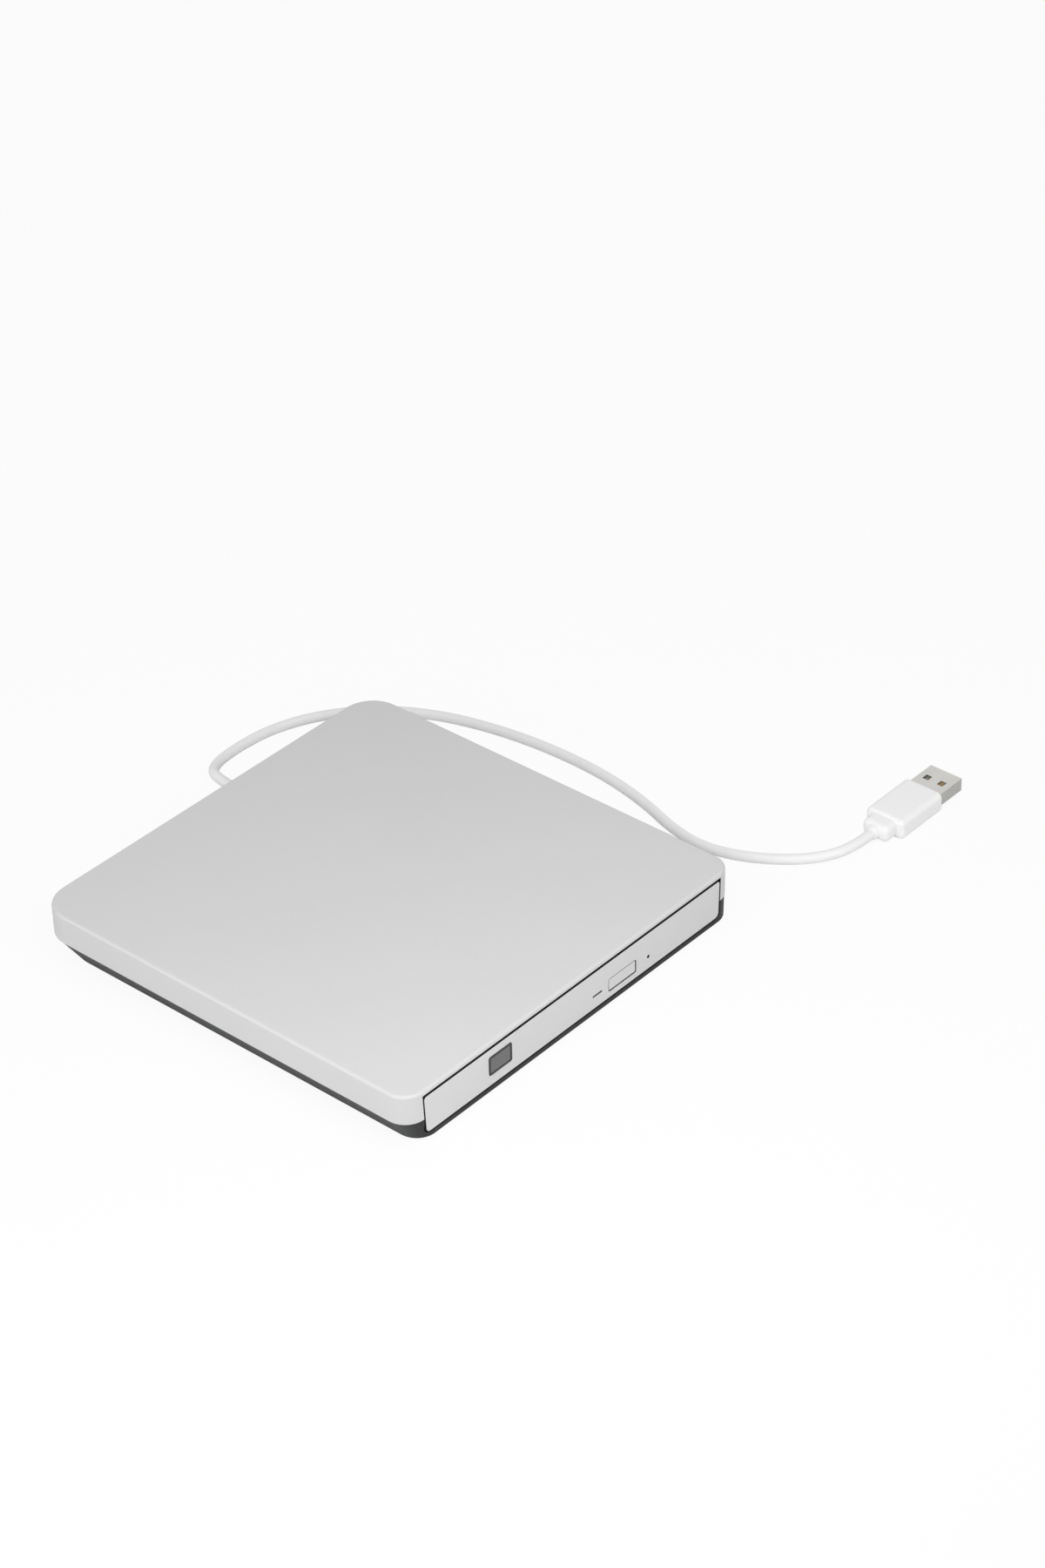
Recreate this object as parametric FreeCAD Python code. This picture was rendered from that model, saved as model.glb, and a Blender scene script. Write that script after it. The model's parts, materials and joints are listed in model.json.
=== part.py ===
"""Slim USB optical drive: a tray-loading disc mechanism in a two-part plastic case.

Millimetres, +Z up, +X to the right seen from the front, and -Y towards the front,
where the tray comes out. The origin is the centre of the case on the table top.
"""
import FreeCAD, Part
import math
import os

V = FreeCAD.Vector
X, Y, Z = V(1, 0, 0), V(0, 1, 0), V(0, 0, 1)

# ---------------------------------------------------------------- case
side_bay = 10.0               # beside the mechanism, on either side
rear_bay = 19.9               # behind the mechanism, for the bridge board
foot_height = 0.5             # how far the feet stand out below the case
rear_corner_radius = 11.0
front_corner_radius = 7.0
top_edge_radius = 1.0
cover_wall = 1.4
cover_top = 1.2
base_wall = 1.6
base_floor = 1.9
base_edge_radius = 0.6
split_height = 7.9            # lower edge of the cover above the case's underside
split_gap = 0.3
base_setback = 0.3            # the base's rim lies this far inside the cover's face
base_draw_left = 4.6          # how far its left side slopes in at the underside
base_draw_right = 0.6
base_draw_back = 4.6
tongue_height = 2.2           # rim of the base that stands up inside the cover
tongue_thickness = 1.0
tongue_gap = 0.2
tongue_root = 0.4             # how far its root reaches into the base's wall
tongue_root_height = 1.3
foot_radius = 5.0
foot_seat = 0.6               # depth of the foot's recess
foot_inset_x = 18.0
foot_inset_front = 13.0
foot_inset_rear = 24.0
case_screw_radius = 1.0
case_screw_head_radius = 1.9
case_screw_head_height = 1.3
case_screw_length = 10.5
case_boss_radius = 3.0
case_boss_inset_x = 17.0
case_boss_inset_rear = 13.4
cover_rib_width = 1.6
cover_rib_inset = 24.0        # from the case's sides
cover_rib_front_inset = 33.0
cover_rib_rear_inset = 37.0
base_rib_length = 12.0
base_rib_width = 2.0
base_rib_inset = 34.0         # from the case's sides to the ribs' middles
base_rib_rear_inset = 44.0
mount_boss_radius = 2.6       # under the mechanism's ears
pilot_radius = 0.8            # of the holes that the small screws cut into
boss_sink = 0.2               # how far bosses and ribs reach into the floor
label_width, label_depth = 62.0, 34.0
label_sink = 0.3              # depth of the shallow bed under the case
label_corner_radius = 3.0

# ---------------------------------------------------------------- bezel and button
bezel_overlap = 3.0           # past the mechanism, on either side
bezel_taper = 0.6             # how much narrower its lower edge is, on either side
bezel_lower_gap = 0.4
bezel_upper_gap = 0.9
bezel_side_gap = 0.5
lip_drop = 0.3                # how far the cover's lip hangs below its ceiling
bezel_plate = 1.8
bezel_depth = 4.2
bezel_wall = 1.3
bezel_top_radius = 1.1
bezel_bottom_radius = 1.8
bezel_edge_radius = 0.3
bezel_rib_places = (-48.0, -16.0, 44.0)
bezel_rib_width = 1.0
control_height = 4.6          # centre of the controls above the bezel's lower edge
button_left = 14.4
button_width = 12.4
button_tall = 4.2
button_line = 0.25            # running gap round the button
button_corner_radius = 0.5
button_flange = 0.9
button_flange_thickness = 0.8
button_flange_gap = 0.15
button_travel = 0.7
light_left = 6.9
light_width = 4.3
light_tall = 0.7
pinhole_x = 32.7
pinhole_radius = 0.6

# ---------------------------------------------------------------- drive chassis
sheet = 0.6
drive_height = 12.7
drive_gap_below = 0.8         # between the case's floor and the chassis
drive_gap_above = 1.3         # between the chassis and the case's ceiling
drive_front_gap = 1.0         # between the bezel's back and the chassis
drive_rear_gap = 1.2          # between the tray's back and the chassis's back wall
lid_flange = 4.4
lid_fit = 0.1
lid_hub_ring = 20.0
guide_thickness = 1.2
guide_front_inset = 1.6
guide_rear_inset = 3.0
pan_slot_width = 3.0
pan_slot_length = 16.0
pan_slot_x = 26.0
pan_slot_inset = 23.8         # behind the chassis's front edge
pan_cut_height = 5.6          # opening in the back wall for the drive's plug
lid_bead_places = (-34.0, 0.0, 34.0)
lid_bead_length = 18.0
lid_bead_width = 2.4
lid_bead_inset = 17.9         # before the chassis's back edge
lid_bead_depth = 0.25
ear_half = 2.6
ear_reach = 2.6               # behind the chassis
ear_to_boss = 8.0             # from the case's boss, towards the middle

# ---------------------------------------------------------------- tray and rails
disc_radius = 60.0
disc_play = 0.6
recess_edge = 0.1             # between the recess and the tray's front wall
tray_rim = 1.6                # outside the disc's recess
tray_side_gap = 0.5
tray_wall = 1.3
tray_rear_wall = 1.5
tray_corner_radius = 6.0
deck_thickness = 0.8
small_disc_radius = 40.5
small_disc_step = 0.5
tray_floor = 1.6
disc_step = 2.5               # depth of the disc's recess below the deck
skirt_thickness = 1.7
skirt_rear_inset = 3.0
rail_gap = 0.2
rail_width = 3.2
rail_height = 5.0
rail_web = 0.8
rail_groove = 1.6
rail_tongue_play = 0.15
rail_tongue_tip = 0.25
rail_rear_inset = 5.0
rail_front_inset = 3.1

# ---------------------------------------------------------------- pickup mechanism
sled_angle = -45.0            # direction of the pickup's travel, from +X
sled_start = 24.5             # the lens's smallest radius on the disc
lens_edge_gap = 5.5           # from the lens's largest radius to the disc's edge
sled_half_length = 9.0
sled_near_side = 13.0
sled_far_side = -9.6
sled_bottom_play = 0.7
rod_radius = 1.0
rod_near = 11.2
rod_far = -8.0
rod_fit = 0.05
rod_seat_half = 1.5
rod_seat_length = 1.9
screw_offset = -13.4
screw_radius = 1.1
screw_fit = 0.05
screw_pitch = 3.0
screw_end_inset = 5.2         # from the sled's furthest reach to the motor
sled_motor_radius = 3.1
sled_motor_length = 7.4
frame_thickness = 0.8
frame_lift = 0.7              # over the chassis floor
frame_rear = -19.0
frame_reach = 12.5            # past the lens's largest radius
frame_near = 16.6
frame_far = -17.2
frame_clearance = 0.5
cover_plate = 0.5
plate_hub_radius = 18.5
plate_half_width = 12.0
plate_fit = 0.15
plate_ledge = 1.9
hub_hole_radius = 15.3
slot_half = 8.0
slot_start = 16.8
slot_edge_gap = 1.1           # from the slot's end to the disc's edge
lens_holder_half_u = 3.6
lens_holder_half_v = 5.6
lens_drop = 0.2               # of the focus travel, below its rest
lens_clearance = 0.1
lens_holder_thickness = 0.9
lens_radius = 1.9
lens_dome_radius = 3.4
lens_proud = 0.35
damper_radius = 2.4
damper_places = ((-14.5, -14.0), (-14.5, 13.6), (45.0, 16.2))
damper_height = 1.7
post_radius = 1.5
motor_base_thickness = 0.6

# ---------------------------------------------------------------- spindle
shaft_radius = 1.0
shaft_fit = 0.04
bearing_radius = 2.6
stator_radius = 9.6
rotor_radius = 12.4
rotor_wall = 1.0
turntable_radius = 14.6
turntable_thickness = 1.0
turntable_pad = 0.3
disc_seat_lift = 1.0          # the disc's underside above the tray's outer floor
hub_radius = 7.4
hub_height = 1.8
claw_width = 3.0
claw_reach = 0.3

# ---------------------------------------------------------------- latch
latch_inset_x = 16.2          # from the tray's side to the latch's pivot
latch_inset_y = 9.8           # behind the tray's front
pin_ahead_x, pin_ahead_y = 8.0, 9.0     # from the pivot to the fixed pin
pin_radius = 1.25
pivot_pin_radius = 0.8
magnet_offset = 10.5          # from the pivot
magnet_width = 9.5
magnet_depth = 9.6
magnet_height = 4.6
magnet_front_inset = 2.4
latch_swing = 9.0             # degrees from released to locked
latch_thickness = 1.4
latch_width = 3.0
latch_hook_play = 0.3
latch_bite = 1.3
latch_fit = 0.05

# ---------------------------------------------------------------- electronics
board = 0.8
bridge_left_gap = 6.0         # from the ear on its left
bridge_right_gap = 13.0
bridge_depth = 11.0
bridge_gap = 1.4              # behind the chassis
bridge_boss = 1.3
bridge_boss_radius = 2.2
bridge_boss_inset = 3.4
plug_gap = 9.0                # from the bridge board's left edge
plug_width = 32.0
connector_height = 4.6
drive_board_inset = 7.7       # from the chassis's left wall
drive_board_width = 56.0
drive_board_depth = 40.2
drive_board_notch = 9.0
tray_board_left = 11.2        # beside the button
tray_board_width = 23.8
tray_board_reach = 8.3        # behind the bezel
tray_board_lift = 1.4
drive_plug_inside = 5.2       # of the drive's plug, before the chassis's back
drive_plug_outside = 0.5
drive_tongue_inset = 1.4
drive_tongue_length = 3.6
drive_tongue_half = 0.6
socket_gap = 0.8              # behind the chassis
socket_depth = 4.8
socket_overlap = 0.6          # past the drive's plug, on either side
socket_half = 2.6
socket_slot_inset = 1.2
socket_slot_depth = 3.1
socket_slot_half = 0.75
# Blocks on the boards: left, right, front and rear edges from the layout's corner, and height.
# Cans: centre from that corner, radius and height.
bridge_blocks = ((3.5, 10.5, 1.0, 8.0, 1.1), (12.2, 14.6, 1.4, 6.4, 1.5),
                 (15.6, 19.2, 0.8, 2.6, 0.9), (21.2, 30.0, 1.2, 4.4, 2.6))
bridge_cans = ((17.4, 6.4, 1.6, 3.4),)
drive_blocks = ((7.0, 21.0, 13.0, 27.0, 1.2), (27.0, 36.0, 16.0, 25.0, 1.0),
                (40.0, 47.0, 12.0, 24.0, 1.1), (3.0, 19.0, 0.6, 4.4, 1.6))
drive_cans = ((3.0, 32.0, 1.7, 2.0), (7.5, 32.0, 1.7, 2.0))
flex_thickness = 0.15
flex_inset = 5.0              # from the drive board's left edge
flex_width = 16.0
flex_fold_reach = 11.2        # before the spindle
flex_tail = 26.0
flex_fold_radius = 1.2

# ---------------------------------------------------------------- cable
cord_diameter = 3.4
boot_radius = 2.9
boot_tip_radius = 2.1
boot_length = 6.0
boot_flange_radius = 2.8
boot_neck_radius = 2.5
boot_groove = 0.6
boot_first_groove = 1.3
boot_groove_pitch = 1.5
boot_flange_thickness = 1.4
plug_overmold_length = 21.0
plug_overmold_width = 14.6
plug_overmold_height = 7.2
plug_corner_radius = 2.0
plug_rear_rounding = 1.3
plug_front_rounding = 0.9
plug_neck_length = 7.0        # from the cable to the body, with the collar
plug_collar_length = 5.2
plug_collar_width = 9.8
plug_collar_height = 5.8
plug_collar_rounding = 1.6
plug_socket_depth = 5.0       # of the metal shell inside the moulding
plug_shell_length = 12.0
plug_shell_width = 12.0
plug_shell_height = 4.5
plug_sheet = 0.3
plug_window_start, plug_window_end = 4.4, 6.8      # of the shell's square holes
plug_window_offset = 2.8
plug_window_half = 1.1
plug_tongue_height = 1.85
plug_tongue_gap = 0.25
contact_width = 1.0
contact_layout = ((-3.5, 8.4), (-1.0, 7.4), (1.0, 7.4), (3.5, 8.4))     # offset and length of each

cord_x = 20.3
cord_exit = 5.4               # height of the cable where it leaves the case
boot_standout = 6.0           # from the case's back to the boot's end
cord_rest = 1.75              # centre of the cable where it lies on the table
# Steps over the table from the boot's end to the plug's neck, each with its height.
cord_steps = [
    (0, 0, cord_exit), (0, 11.6, cord_exit), (6.9, 20.6, 2.5), (20.2, 22.8, cord_rest),
    (36.2, 21.4, cord_rest), (52.2, 14.4, cord_rest), (66.2, 1.6, cord_rest),
    (76.1, -15.4, cord_rest), (81.7, -35.5, cord_rest), (84.2, -57.0, cord_rest),
    (83.7, -79.5, cord_rest), (79.9, -99.2, cord_rest), (74.3, -115.0, cord_rest),
    (72.4, -128.2, cord_rest), (75.6, -140.0, cord_rest), (81.5, -150.6, cord_rest),
    (89.5, -159.8, 1.9), (98.3, -166.7, 3.6), (108.8, -166.7, 3.6),
]

# ---------------------------------------------------------------- levels and places
recess_radius = disc_radius + disc_play
tray_half = recess_radius + tray_rim
pan_inner = tray_half + tray_side_gap
pan_half = pan_inner + sheet
drive_half = pan_half + lid_fit + sheet
tray_depth = tray_wall + recess_edge + 2 * recess_radius + tray_rear_wall
mechanism_depth = tray_depth + drive_rear_gap + sheet
case_width = 2 * (drive_half + side_bay)
case_depth = bezel_depth + mechanism_depth + rear_bay
case_height = base_floor + drive_gap_below + drive_height + drive_gap_above + cover_top

front = -case_depth / 2
rear = case_depth / 2
side = case_width / 2
z_under = foot_height
z_top = z_under + case_height
z_floor = z_under + base_floor
z_ceiling = z_top - cover_top
z_split = z_under + split_height
z_rim = z_split - split_gap

bezel_bottom = z_floor + bezel_lower_gap
bezel_top = z_ceiling - lip_drop - bezel_upper_gap
bezel_half_top = drive_half + bezel_overlap
bezel_half_bottom = bezel_half_top - bezel_taper
bezel_back = front + bezel_depth
control_z = bezel_bottom + control_height
button_x = button_left + button_width / 2

pan_bottom = z_floor + drive_gap_below
pan_floor = pan_bottom + sheet
drive_top = pan_bottom + drive_height
lid_under = drive_top - sheet
drive_front = bezel_back + drive_front_gap

tray_front = bezel_back
disc_y = tray_front + tray_wall + recess_edge + recess_radius
tray_rear = disc_y + recess_radius + tray_rear_wall
drive_rear = tray_rear + drive_rear_gap + sheet

rail_bottom = pan_floor + 0.5
rail_top = rail_bottom + rail_height
rail_mid = (rail_bottom + rail_top) / 2
guide_inner = pan_inner - guide_thickness
rail_outer = guide_inner - rail_gap
rail_inner = rail_outer - rail_width
skirt_outer = rail_inner - rail_gap
skirt_inner = skirt_outer - skirt_thickness
web_centre = (rail_outer + rail_inner) / 2
rail_rear = tray_rear - rail_rear_inset
rail_front = tray_front + rail_front_inset

floor_under = rail_top + 0.3
floor_top = floor_under + tray_floor
inner_floor = floor_top - small_disc_step
deck_top = floor_top + disc_step
disc_seat = floor_top + disc_seat_lift
recess_wall = 1.0

frame_bottom = pan_floor + frame_lift
frame_top = frame_bottom + frame_thickness
rod_z = frame_top + 1.9
sled_bottom = pan_floor + sled_bottom_play
sled_top = floor_under - 0.2
plate_bottom = inner_floor - cover_plate
damper_top = frame_top + damper_height
sled_travel = disc_radius - lens_edge_gap - sled_start
frame_front = sled_start + sled_travel + frame_reach
slot_end = disc_radius - slot_edge_gap
screw_end = sled_start + sled_travel + sled_half_length - screw_end_inset
lens_bottom = sled_top + lens_drop + lens_clearance
rod_inner = sled_start - sled_half_length - 0.5
rod_outer = sled_start + sled_travel + sled_half_length + 0.5

rotor_bottom = frame_top + motor_base_thickness + 0.4
turntable_top = disc_seat - turntable_pad
rotor_top = turntable_top - turntable_thickness - 0.9
bearing_top = rotor_top - 1.0

latch_bottom = frame_bottom
latch_top = latch_bottom + latch_thickness
latch_pivot_x = -(tray_half - latch_inset_x)
latch_pivot_y = tray_front + latch_inset_y
pin_x = latch_pivot_x + pin_ahead_x
pin_y = latch_pivot_y + pin_ahead_y
magnet_left = latch_pivot_x + magnet_offset
magnet_right = magnet_left + magnet_width
magnet_front = tray_front + magnet_front_inset
magnet_rear = magnet_front + magnet_depth
magnet_top = frame_bottom + magnet_height

board_left = button_left - tray_board_left
board_right = board_left + tray_board_width
board_rear = bezel_back + tray_board_reach
board_bottom = pan_floor + tray_board_lift
board_top = board_bottom + board
stem_end = bezel_back + 0.3
switch_front = stem_end + button_travel + 0.15

case_boss_x = side - case_boss_inset_x
case_boss_y = rear - case_boss_inset_rear
case_screw_seat = z_under + case_screw_head_height + 0.3
ear_x = case_boss_x - ear_to_boss
ear_y = drive_rear + ear_reach
bridge_left = bridge_left_gap - ear_x
bridge_right = ear_x - bridge_right_gap
bridge_bottom = z_floor + bridge_boss
bridge_top = bridge_bottom + board
bridge_front = drive_rear + bridge_gap
bridge_boss_y = bridge_front + bridge_depth - bridge_boss_inset
plug_left = bridge_left + plug_gap
plug_right = plug_left + plug_width
drive_board_left = drive_board_inset - pan_inner
drive_board_rear = drive_rear - sheet - 0.3
drive_board_front = drive_board_rear - drive_board_depth
drive_board_top = pan_floor + board
connector_mid = drive_board_top + connector_height / 2
flex_left = drive_board_left + flex_inset
flex_right = flex_left + flex_width
flex_fold_y = disc_y - flex_fold_reach

cord_route = [V(cord_x + dx, rear + boot_standout + dy, z) for dx, dy, z in cord_steps]
plug_start = cord_route[-1]
body_x = plug_start.x + plug_neck_length
shell_x = body_x + plug_overmold_length


# ---------------------------------------------------------------- helpers
def box(x0, x1, y0, y1, z0, z1):
    """A block between two corners, given axis by axis."""
    return Part.makeBox(x1 - x0, y1 - y0, z1 - z0, V(x0, y0, z0))


def rod(radius, x, y, z0, z1):
    """An upright cylinder."""
    return Part.makeCylinder(radius, z1 - z0, V(x, y, z0), Z)


def tube(outer, inner, x, y, z0, z1):
    """An upright ring."""
    return rod(outer, x, y, z0, z1).cut(rod(inner, x, y, z0 - 1, z1 + 1))


def fuse(*shapes):
    """One solid from pieces that touch."""
    whole = shapes[0]
    for shape in shapes[1:]:
        whole = whole.fuse(shape)
    return whole.removeSplitter()


def cut(shape, *tools):
    """The shape without the tools."""
    for tool in tools:
        shape = shape.cut(tool)
    return shape


def mirrored(shape):
    """The shape's copy on the other side of the middle plane."""
    return shape.mirror(V(0, 0, 0), X)


def group(shapes):
    """Separate solids kept together in one node."""
    return Part.makeCompound(shapes)


def corner_arc(before, corner, after, radius):
    """Start, middle and end of the arc that rounds a corner."""
    back = (before - corner).normalize()
    ahead = (after - corner).normalize()
    half = back.getAngle(ahead) / 2
    reach = radius / math.tan(half)
    centre = corner + (back + ahead).normalize() * (radius / math.sin(half))
    middle = centre + (corner - centre).normalize() * radius
    return corner + back * reach, middle, corner + ahead * reach


def rounded_loop(corners, radii):
    """A closed wire through the corners, each rounded by its own radius."""
    count = len(corners)
    arcs = []
    for i in range(count):
        arcs.append(corner_arc(corners[i - 1], corners[i], corners[(i + 1) % count], radii[i]))
    edges = []
    for i in range(count):
        start, middle, end = arcs[i]
        edges.append(Part.Arc(start, middle, end).toShape())
        following = arcs[(i + 1) % count][0]
        if end.distanceToPoint(following) > 0.001:
            edges.append(Part.LineSegment(end, following).toShape())
    return Part.Wire(edges)


def prism(wire, vector):
    """A solid swept straight from a closed flat wire."""
    return Part.Face(wire).extrude(vector)


def rounded_block(x0, x1, y0, y1, z0, z1, radius):
    """A block with four rounded upright edges."""
    corners = [V(x0, y0, z0), V(x1, y0, z0), V(x1, y1, z0), V(x0, y1, z0)]
    return prism(rounded_loop(corners, [radius] * 4), Z * (z1 - z0))


def fillet_where(shape, radius, chosen):
    """Rounds the edges whose bounding box passes the given test."""
    edges = [edge for edge in shape.Edges if chosen(edge.BoundBox)]
    return shape.makeFillet(radius, edges) if edges else shape


def seated(shape):
    """Turns a piece of the pickup mechanism from its own u, v axes into the tray."""
    shape.rotate(V(0, 0, 0), Z, sled_angle)
    shape.translate(V(0, disc_y, 0))
    return shape


# ---------------------------------------------------------------- case
def case_outline(z, left, right, back, fore, wall):
    """The case's plan at height z, drawn in side by side and then by a wall's thickness."""
    x0, x1 = -side + left + wall, side - right - wall
    y0, y1 = front + fore + wall, rear - back - wall
    front_r = max(front_corner_radius - wall, 1.0)
    rear_r = max(rear_corner_radius - wall, 1.0)
    corners = [V(x0, y0, z), V(x1, y0, z), V(x1, y1, z), V(x0, y1, z)]
    return rounded_loop(corners, [front_r, front_r, rear_r, rear_r])


def slope(z, draw):
    """How far a side of the base lies inside the case's plan at height z."""
    return base_setback + (draw - base_setback) * (z_rim - z) / (z_rim - z_under)


def cover_outline(z, wall):
    return case_outline(z, 0, 0, 0, 0, wall)


def base_outline(z, wall):
    return case_outline(z, slope(z, base_draw_left), slope(z, base_draw_right),
                        slope(z, base_draw_back), 0, wall)


def bezel_profile(y, gap, upper_gap, lower_gap, inset=0.0):
    """The bezel's outline across the front, grown by a gap or shrunk by an inset."""
    top = bezel_half_top + gap - inset
    bottom = bezel_half_bottom + gap - inset
    z1 = bezel_top + upper_gap - inset
    z0 = bezel_bottom - lower_gap + inset
    upper_r = max(bezel_top_radius - inset, 0.3) if gap == 0 else 0.2
    lower_r = max(bezel_bottom_radius + gap - inset, 0.3)
    corners = [V(-bottom, y, z0), V(bottom, y, z0), V(top, y, z1), V(-top, y, z1)]
    return rounded_loop(corners, [lower_r, lower_r, upper_r, upper_r])


def bezel_opening():
    """The space in the case's front that the tray and bezel pass through, under the cover's lip."""
    y0 = front - 1
    wire = bezel_profile(y0, bezel_side_gap, bezel_upper_gap, bezel_lower_gap)
    return prism(wire, Y * (bezel_depth + 1.2))


def top_cover():
    shell = prism(cover_outline(z_split, 0), Z * (z_top - z_split))
    top_edges = lambda b: b.ZMin > z_top - 0.01
    shell = fillet_where(shell, top_edge_radius, top_edges)
    inner = prism(cover_outline(z_split - 1, cover_wall), Z * (z_ceiling - z_split + 1))
    shell = cut(shell, inner, bezel_opening())
    parts = [shell]
    reach = side - cover_rib_inset
    for y in (front + cover_rib_front_inset, 0.0, rear - cover_rib_rear_inset):
        parts.append(box(-reach, reach, y - cover_rib_width / 2, y + cover_rib_width / 2,
                         drive_top, z_ceiling))
    for x in (-case_boss_x, case_boss_x):
        boss = rod(case_boss_radius - 0.4, x, case_boss_y, z_split + 0.2, z_ceiling)
        parts.append(boss.cut(rod(case_screw_radius, x, case_boss_y, z_split - 1, z_ceiling - 1.5)))
    return fuse(*parts)


def foot_centres():
    places = []
    for x in (-1, 1):
        places.append((x * (side - foot_inset_x), front + foot_inset_front))
        places.append((x * (side - foot_inset_x), rear - foot_inset_rear))
    return places


def base_cover():
    outer = Part.makeLoft([base_outline(z_under, 0), base_outline(z_rim, 0)], True, True)
    outer = fillet_where(outer, base_edge_radius, lambda b: b.ZMax < z_under + 0.01)
    inner = Part.makeLoft([base_outline(z_floor, base_wall), base_outline(z_rim + 0.01, base_wall)],
                          True, True)
    shell = cut(outer, inner)
    tongue_outer = cover_wall + tongue_gap
    tongue_inner = tongue_outer + tongue_thickness
    root = prism(cover_outline(z_rim, base_wall - tongue_root), Z * -tongue_root_height)
    tongue = prism(cover_outline(z_rim, tongue_outer), Z * (z_split + tongue_height - z_rim))
    hollow = prism(cover_outline(z_rim - tongue_root_height, tongue_inner), Z * (tongue_height + 5))
    tongue = cut(fuse(root, tongue), hollow)
    parts = [shell, tongue]
    for sign in (-1, 1):
        parts.append(rod(case_boss_radius, sign * case_boss_x, case_boss_y, z_under + 0.4, z_split))
        parts.append(rod(mount_boss_radius, sign * ear_x, ear_y, z_floor - boss_sink, pan_bottom))
        x0 = sign * (side - base_rib_inset) - base_rib_length / 2
        for y0 in (drive_front + 3, rear - base_rib_rear_inset):
            parts.append(box(x0, x0 + base_rib_length, y0, y0 + base_rib_width,
                             z_floor - boss_sink, pan_bottom))
    for x in bridge_boss_places():
        parts.append(rod(bridge_boss_radius, x, bridge_boss_y, z_floor - boss_sink, bridge_bottom))
    body = fuse(*parts)
    tools = [bezel_opening(), label_bed(), boot_seat()]
    for x in (-case_boss_x, case_boss_x):
        tools.append(rod(case_screw_radius + 0.15, x, case_boss_y, z_under - 1, z_split + 1))
        tools.append(rod(case_screw_head_radius + 0.2, x, case_boss_y, z_under - 1, case_screw_seat))
    for x in (-ear_x, ear_x):
        tools.append(rod(pilot_radius, x, ear_y, z_floor, pan_bottom + 1))
    for x in bridge_boss_places():
        tools.append(rod(pilot_radius, x, bridge_boss_y, z_floor, bridge_bottom + 1))
    for x, y in foot_centres():
        tools.append(rod(foot_radius + 0.1, x, y, z_under - 1, z_under + foot_seat))
    return cut(body, *tools)


def label_bed():
    """A shallow rounded bed in the middle of the underside."""
    x, y = label_width / 2, label_depth / 2
    return rounded_block(-x, x, -y, y, z_under - 1, z_under + label_sink, label_corner_radius)


def rubber_feet():
    feet = []
    for x, y in foot_centres():
        foot = rod(foot_radius, x, y, 0, z_under + foot_seat)
        feet.append(fillet_where(foot, 0.3, lambda b: b.ZMax < 0.01))
    return group(feet)


def pan_head_screw(x, y, seat, length, radius, head_radius, head_height, up):
    """A screw whose head rests on the seat; up is the direction its shank points."""
    far = seat + up * length
    shank = rod(radius, x, y, min(seat, far), max(seat, far))
    top = seat - up * head_height
    head = rod(head_radius, x, y, min(seat, top), max(seat, top))
    socket_end = top + up * head_height * 0.5
    cross = [box(x - 0.25, x + 0.25, y - head_radius * 0.6, y + head_radius * 0.6,
                 min(top, socket_end), max(top, socket_end)),
             box(x - head_radius * 0.6, x + head_radius * 0.6, y - 0.25, y + 0.25,
                 min(top, socket_end), max(top, socket_end))]
    return cut(fuse(head, shank), *cross)


def case_screws():
    screws = []
    for x in (-case_boss_x, case_boss_x):
        screws.append(pan_head_screw(x, case_boss_y, case_screw_seat, case_screw_length,
                                     case_screw_radius - 0.03, case_screw_head_radius,
                                     case_screw_head_height, 1))
    return group(screws)


# ---------------------------------------------------------------- chassis
def drive_pan():
    floor = box(-pan_half, pan_half, drive_front, drive_rear, pan_bottom, pan_floor)
    wall = box(pan_inner, pan_half, drive_front, drive_rear, pan_bottom, lid_under)
    back = box(-pan_half, pan_half, drive_rear - sheet, drive_rear, pan_bottom, lid_under)
    parts = [floor, wall, mirrored(wall), back]
    for x in (-ear_x, ear_x):
        ear = fuse(box(x - ear_half, x + ear_half, drive_rear - 0.1, ear_y, pan_bottom, pan_floor),
                   rod(ear_half, x, ear_y, pan_bottom, pan_floor))
        parts.append(ear.cut(rod(0.95, x, ear_y, pan_bottom - 1, pan_floor + 1)))
    pan = fuse(*parts)
    tools = [box(plug_left - 1, plug_right + 1, drive_rear - 2, drive_rear + 1, pan_floor,
                 pan_floor + pan_cut_height)]
    half = pan_slot_length / 2
    y0 = drive_front + pan_slot_inset - pan_slot_width / 2
    for x in (-pan_slot_x, pan_slot_x):
        tools.append(rounded_block(x - half, x + half, y0, y0 + pan_slot_width,
                                   pan_bottom - 1, pan_floor + 1, pan_slot_width / 2 - 0.1))
    return cut(pan, *tools)


def drive_lid():
    plate = box(-drive_half, drive_half, drive_front, drive_rear, lid_under, drive_top)
    flange = box(drive_half - sheet, drive_half, drive_front, drive_rear, drive_top - lid_flange, drive_top)
    lid = fuse(plate, flange, mirrored(flange))
    ring = tube(lid_hub_ring, lid_hub_ring - 1.2, 0, disc_y, drive_top - lid_bead_depth, drive_top + 1)
    tools = [ring]
    half = lid_bead_length / 2
    y0 = drive_rear - lid_bead_inset - lid_bead_width / 2
    for x in lid_bead_places:
        tools.append(rounded_block(x - half, x + half, y0, y0 + lid_bead_width,
                                   drive_top - lid_bead_depth, drive_top + 1, lid_bead_width / 2 - 0.1))
    return cut(lid, *tools)


def rail_guide():
    """The fixed channel on the right; a tongue runs in the rail's outer groove."""
    y0, y1 = drive_front + guide_front_inset, drive_rear - guide_rear_inset
    block = box(guide_inner, pan_inner, y0, y1, pan_floor, rail_top)
    half = rail_groove / 2 - rail_tongue_play
    tip = web_centre + rail_web / 2 + rail_tongue_tip
    tongue = box(tip, guide_inner + 0.1, y0, y1, rail_mid - half, rail_mid + half)
    return fuse(block, tongue)


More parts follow.
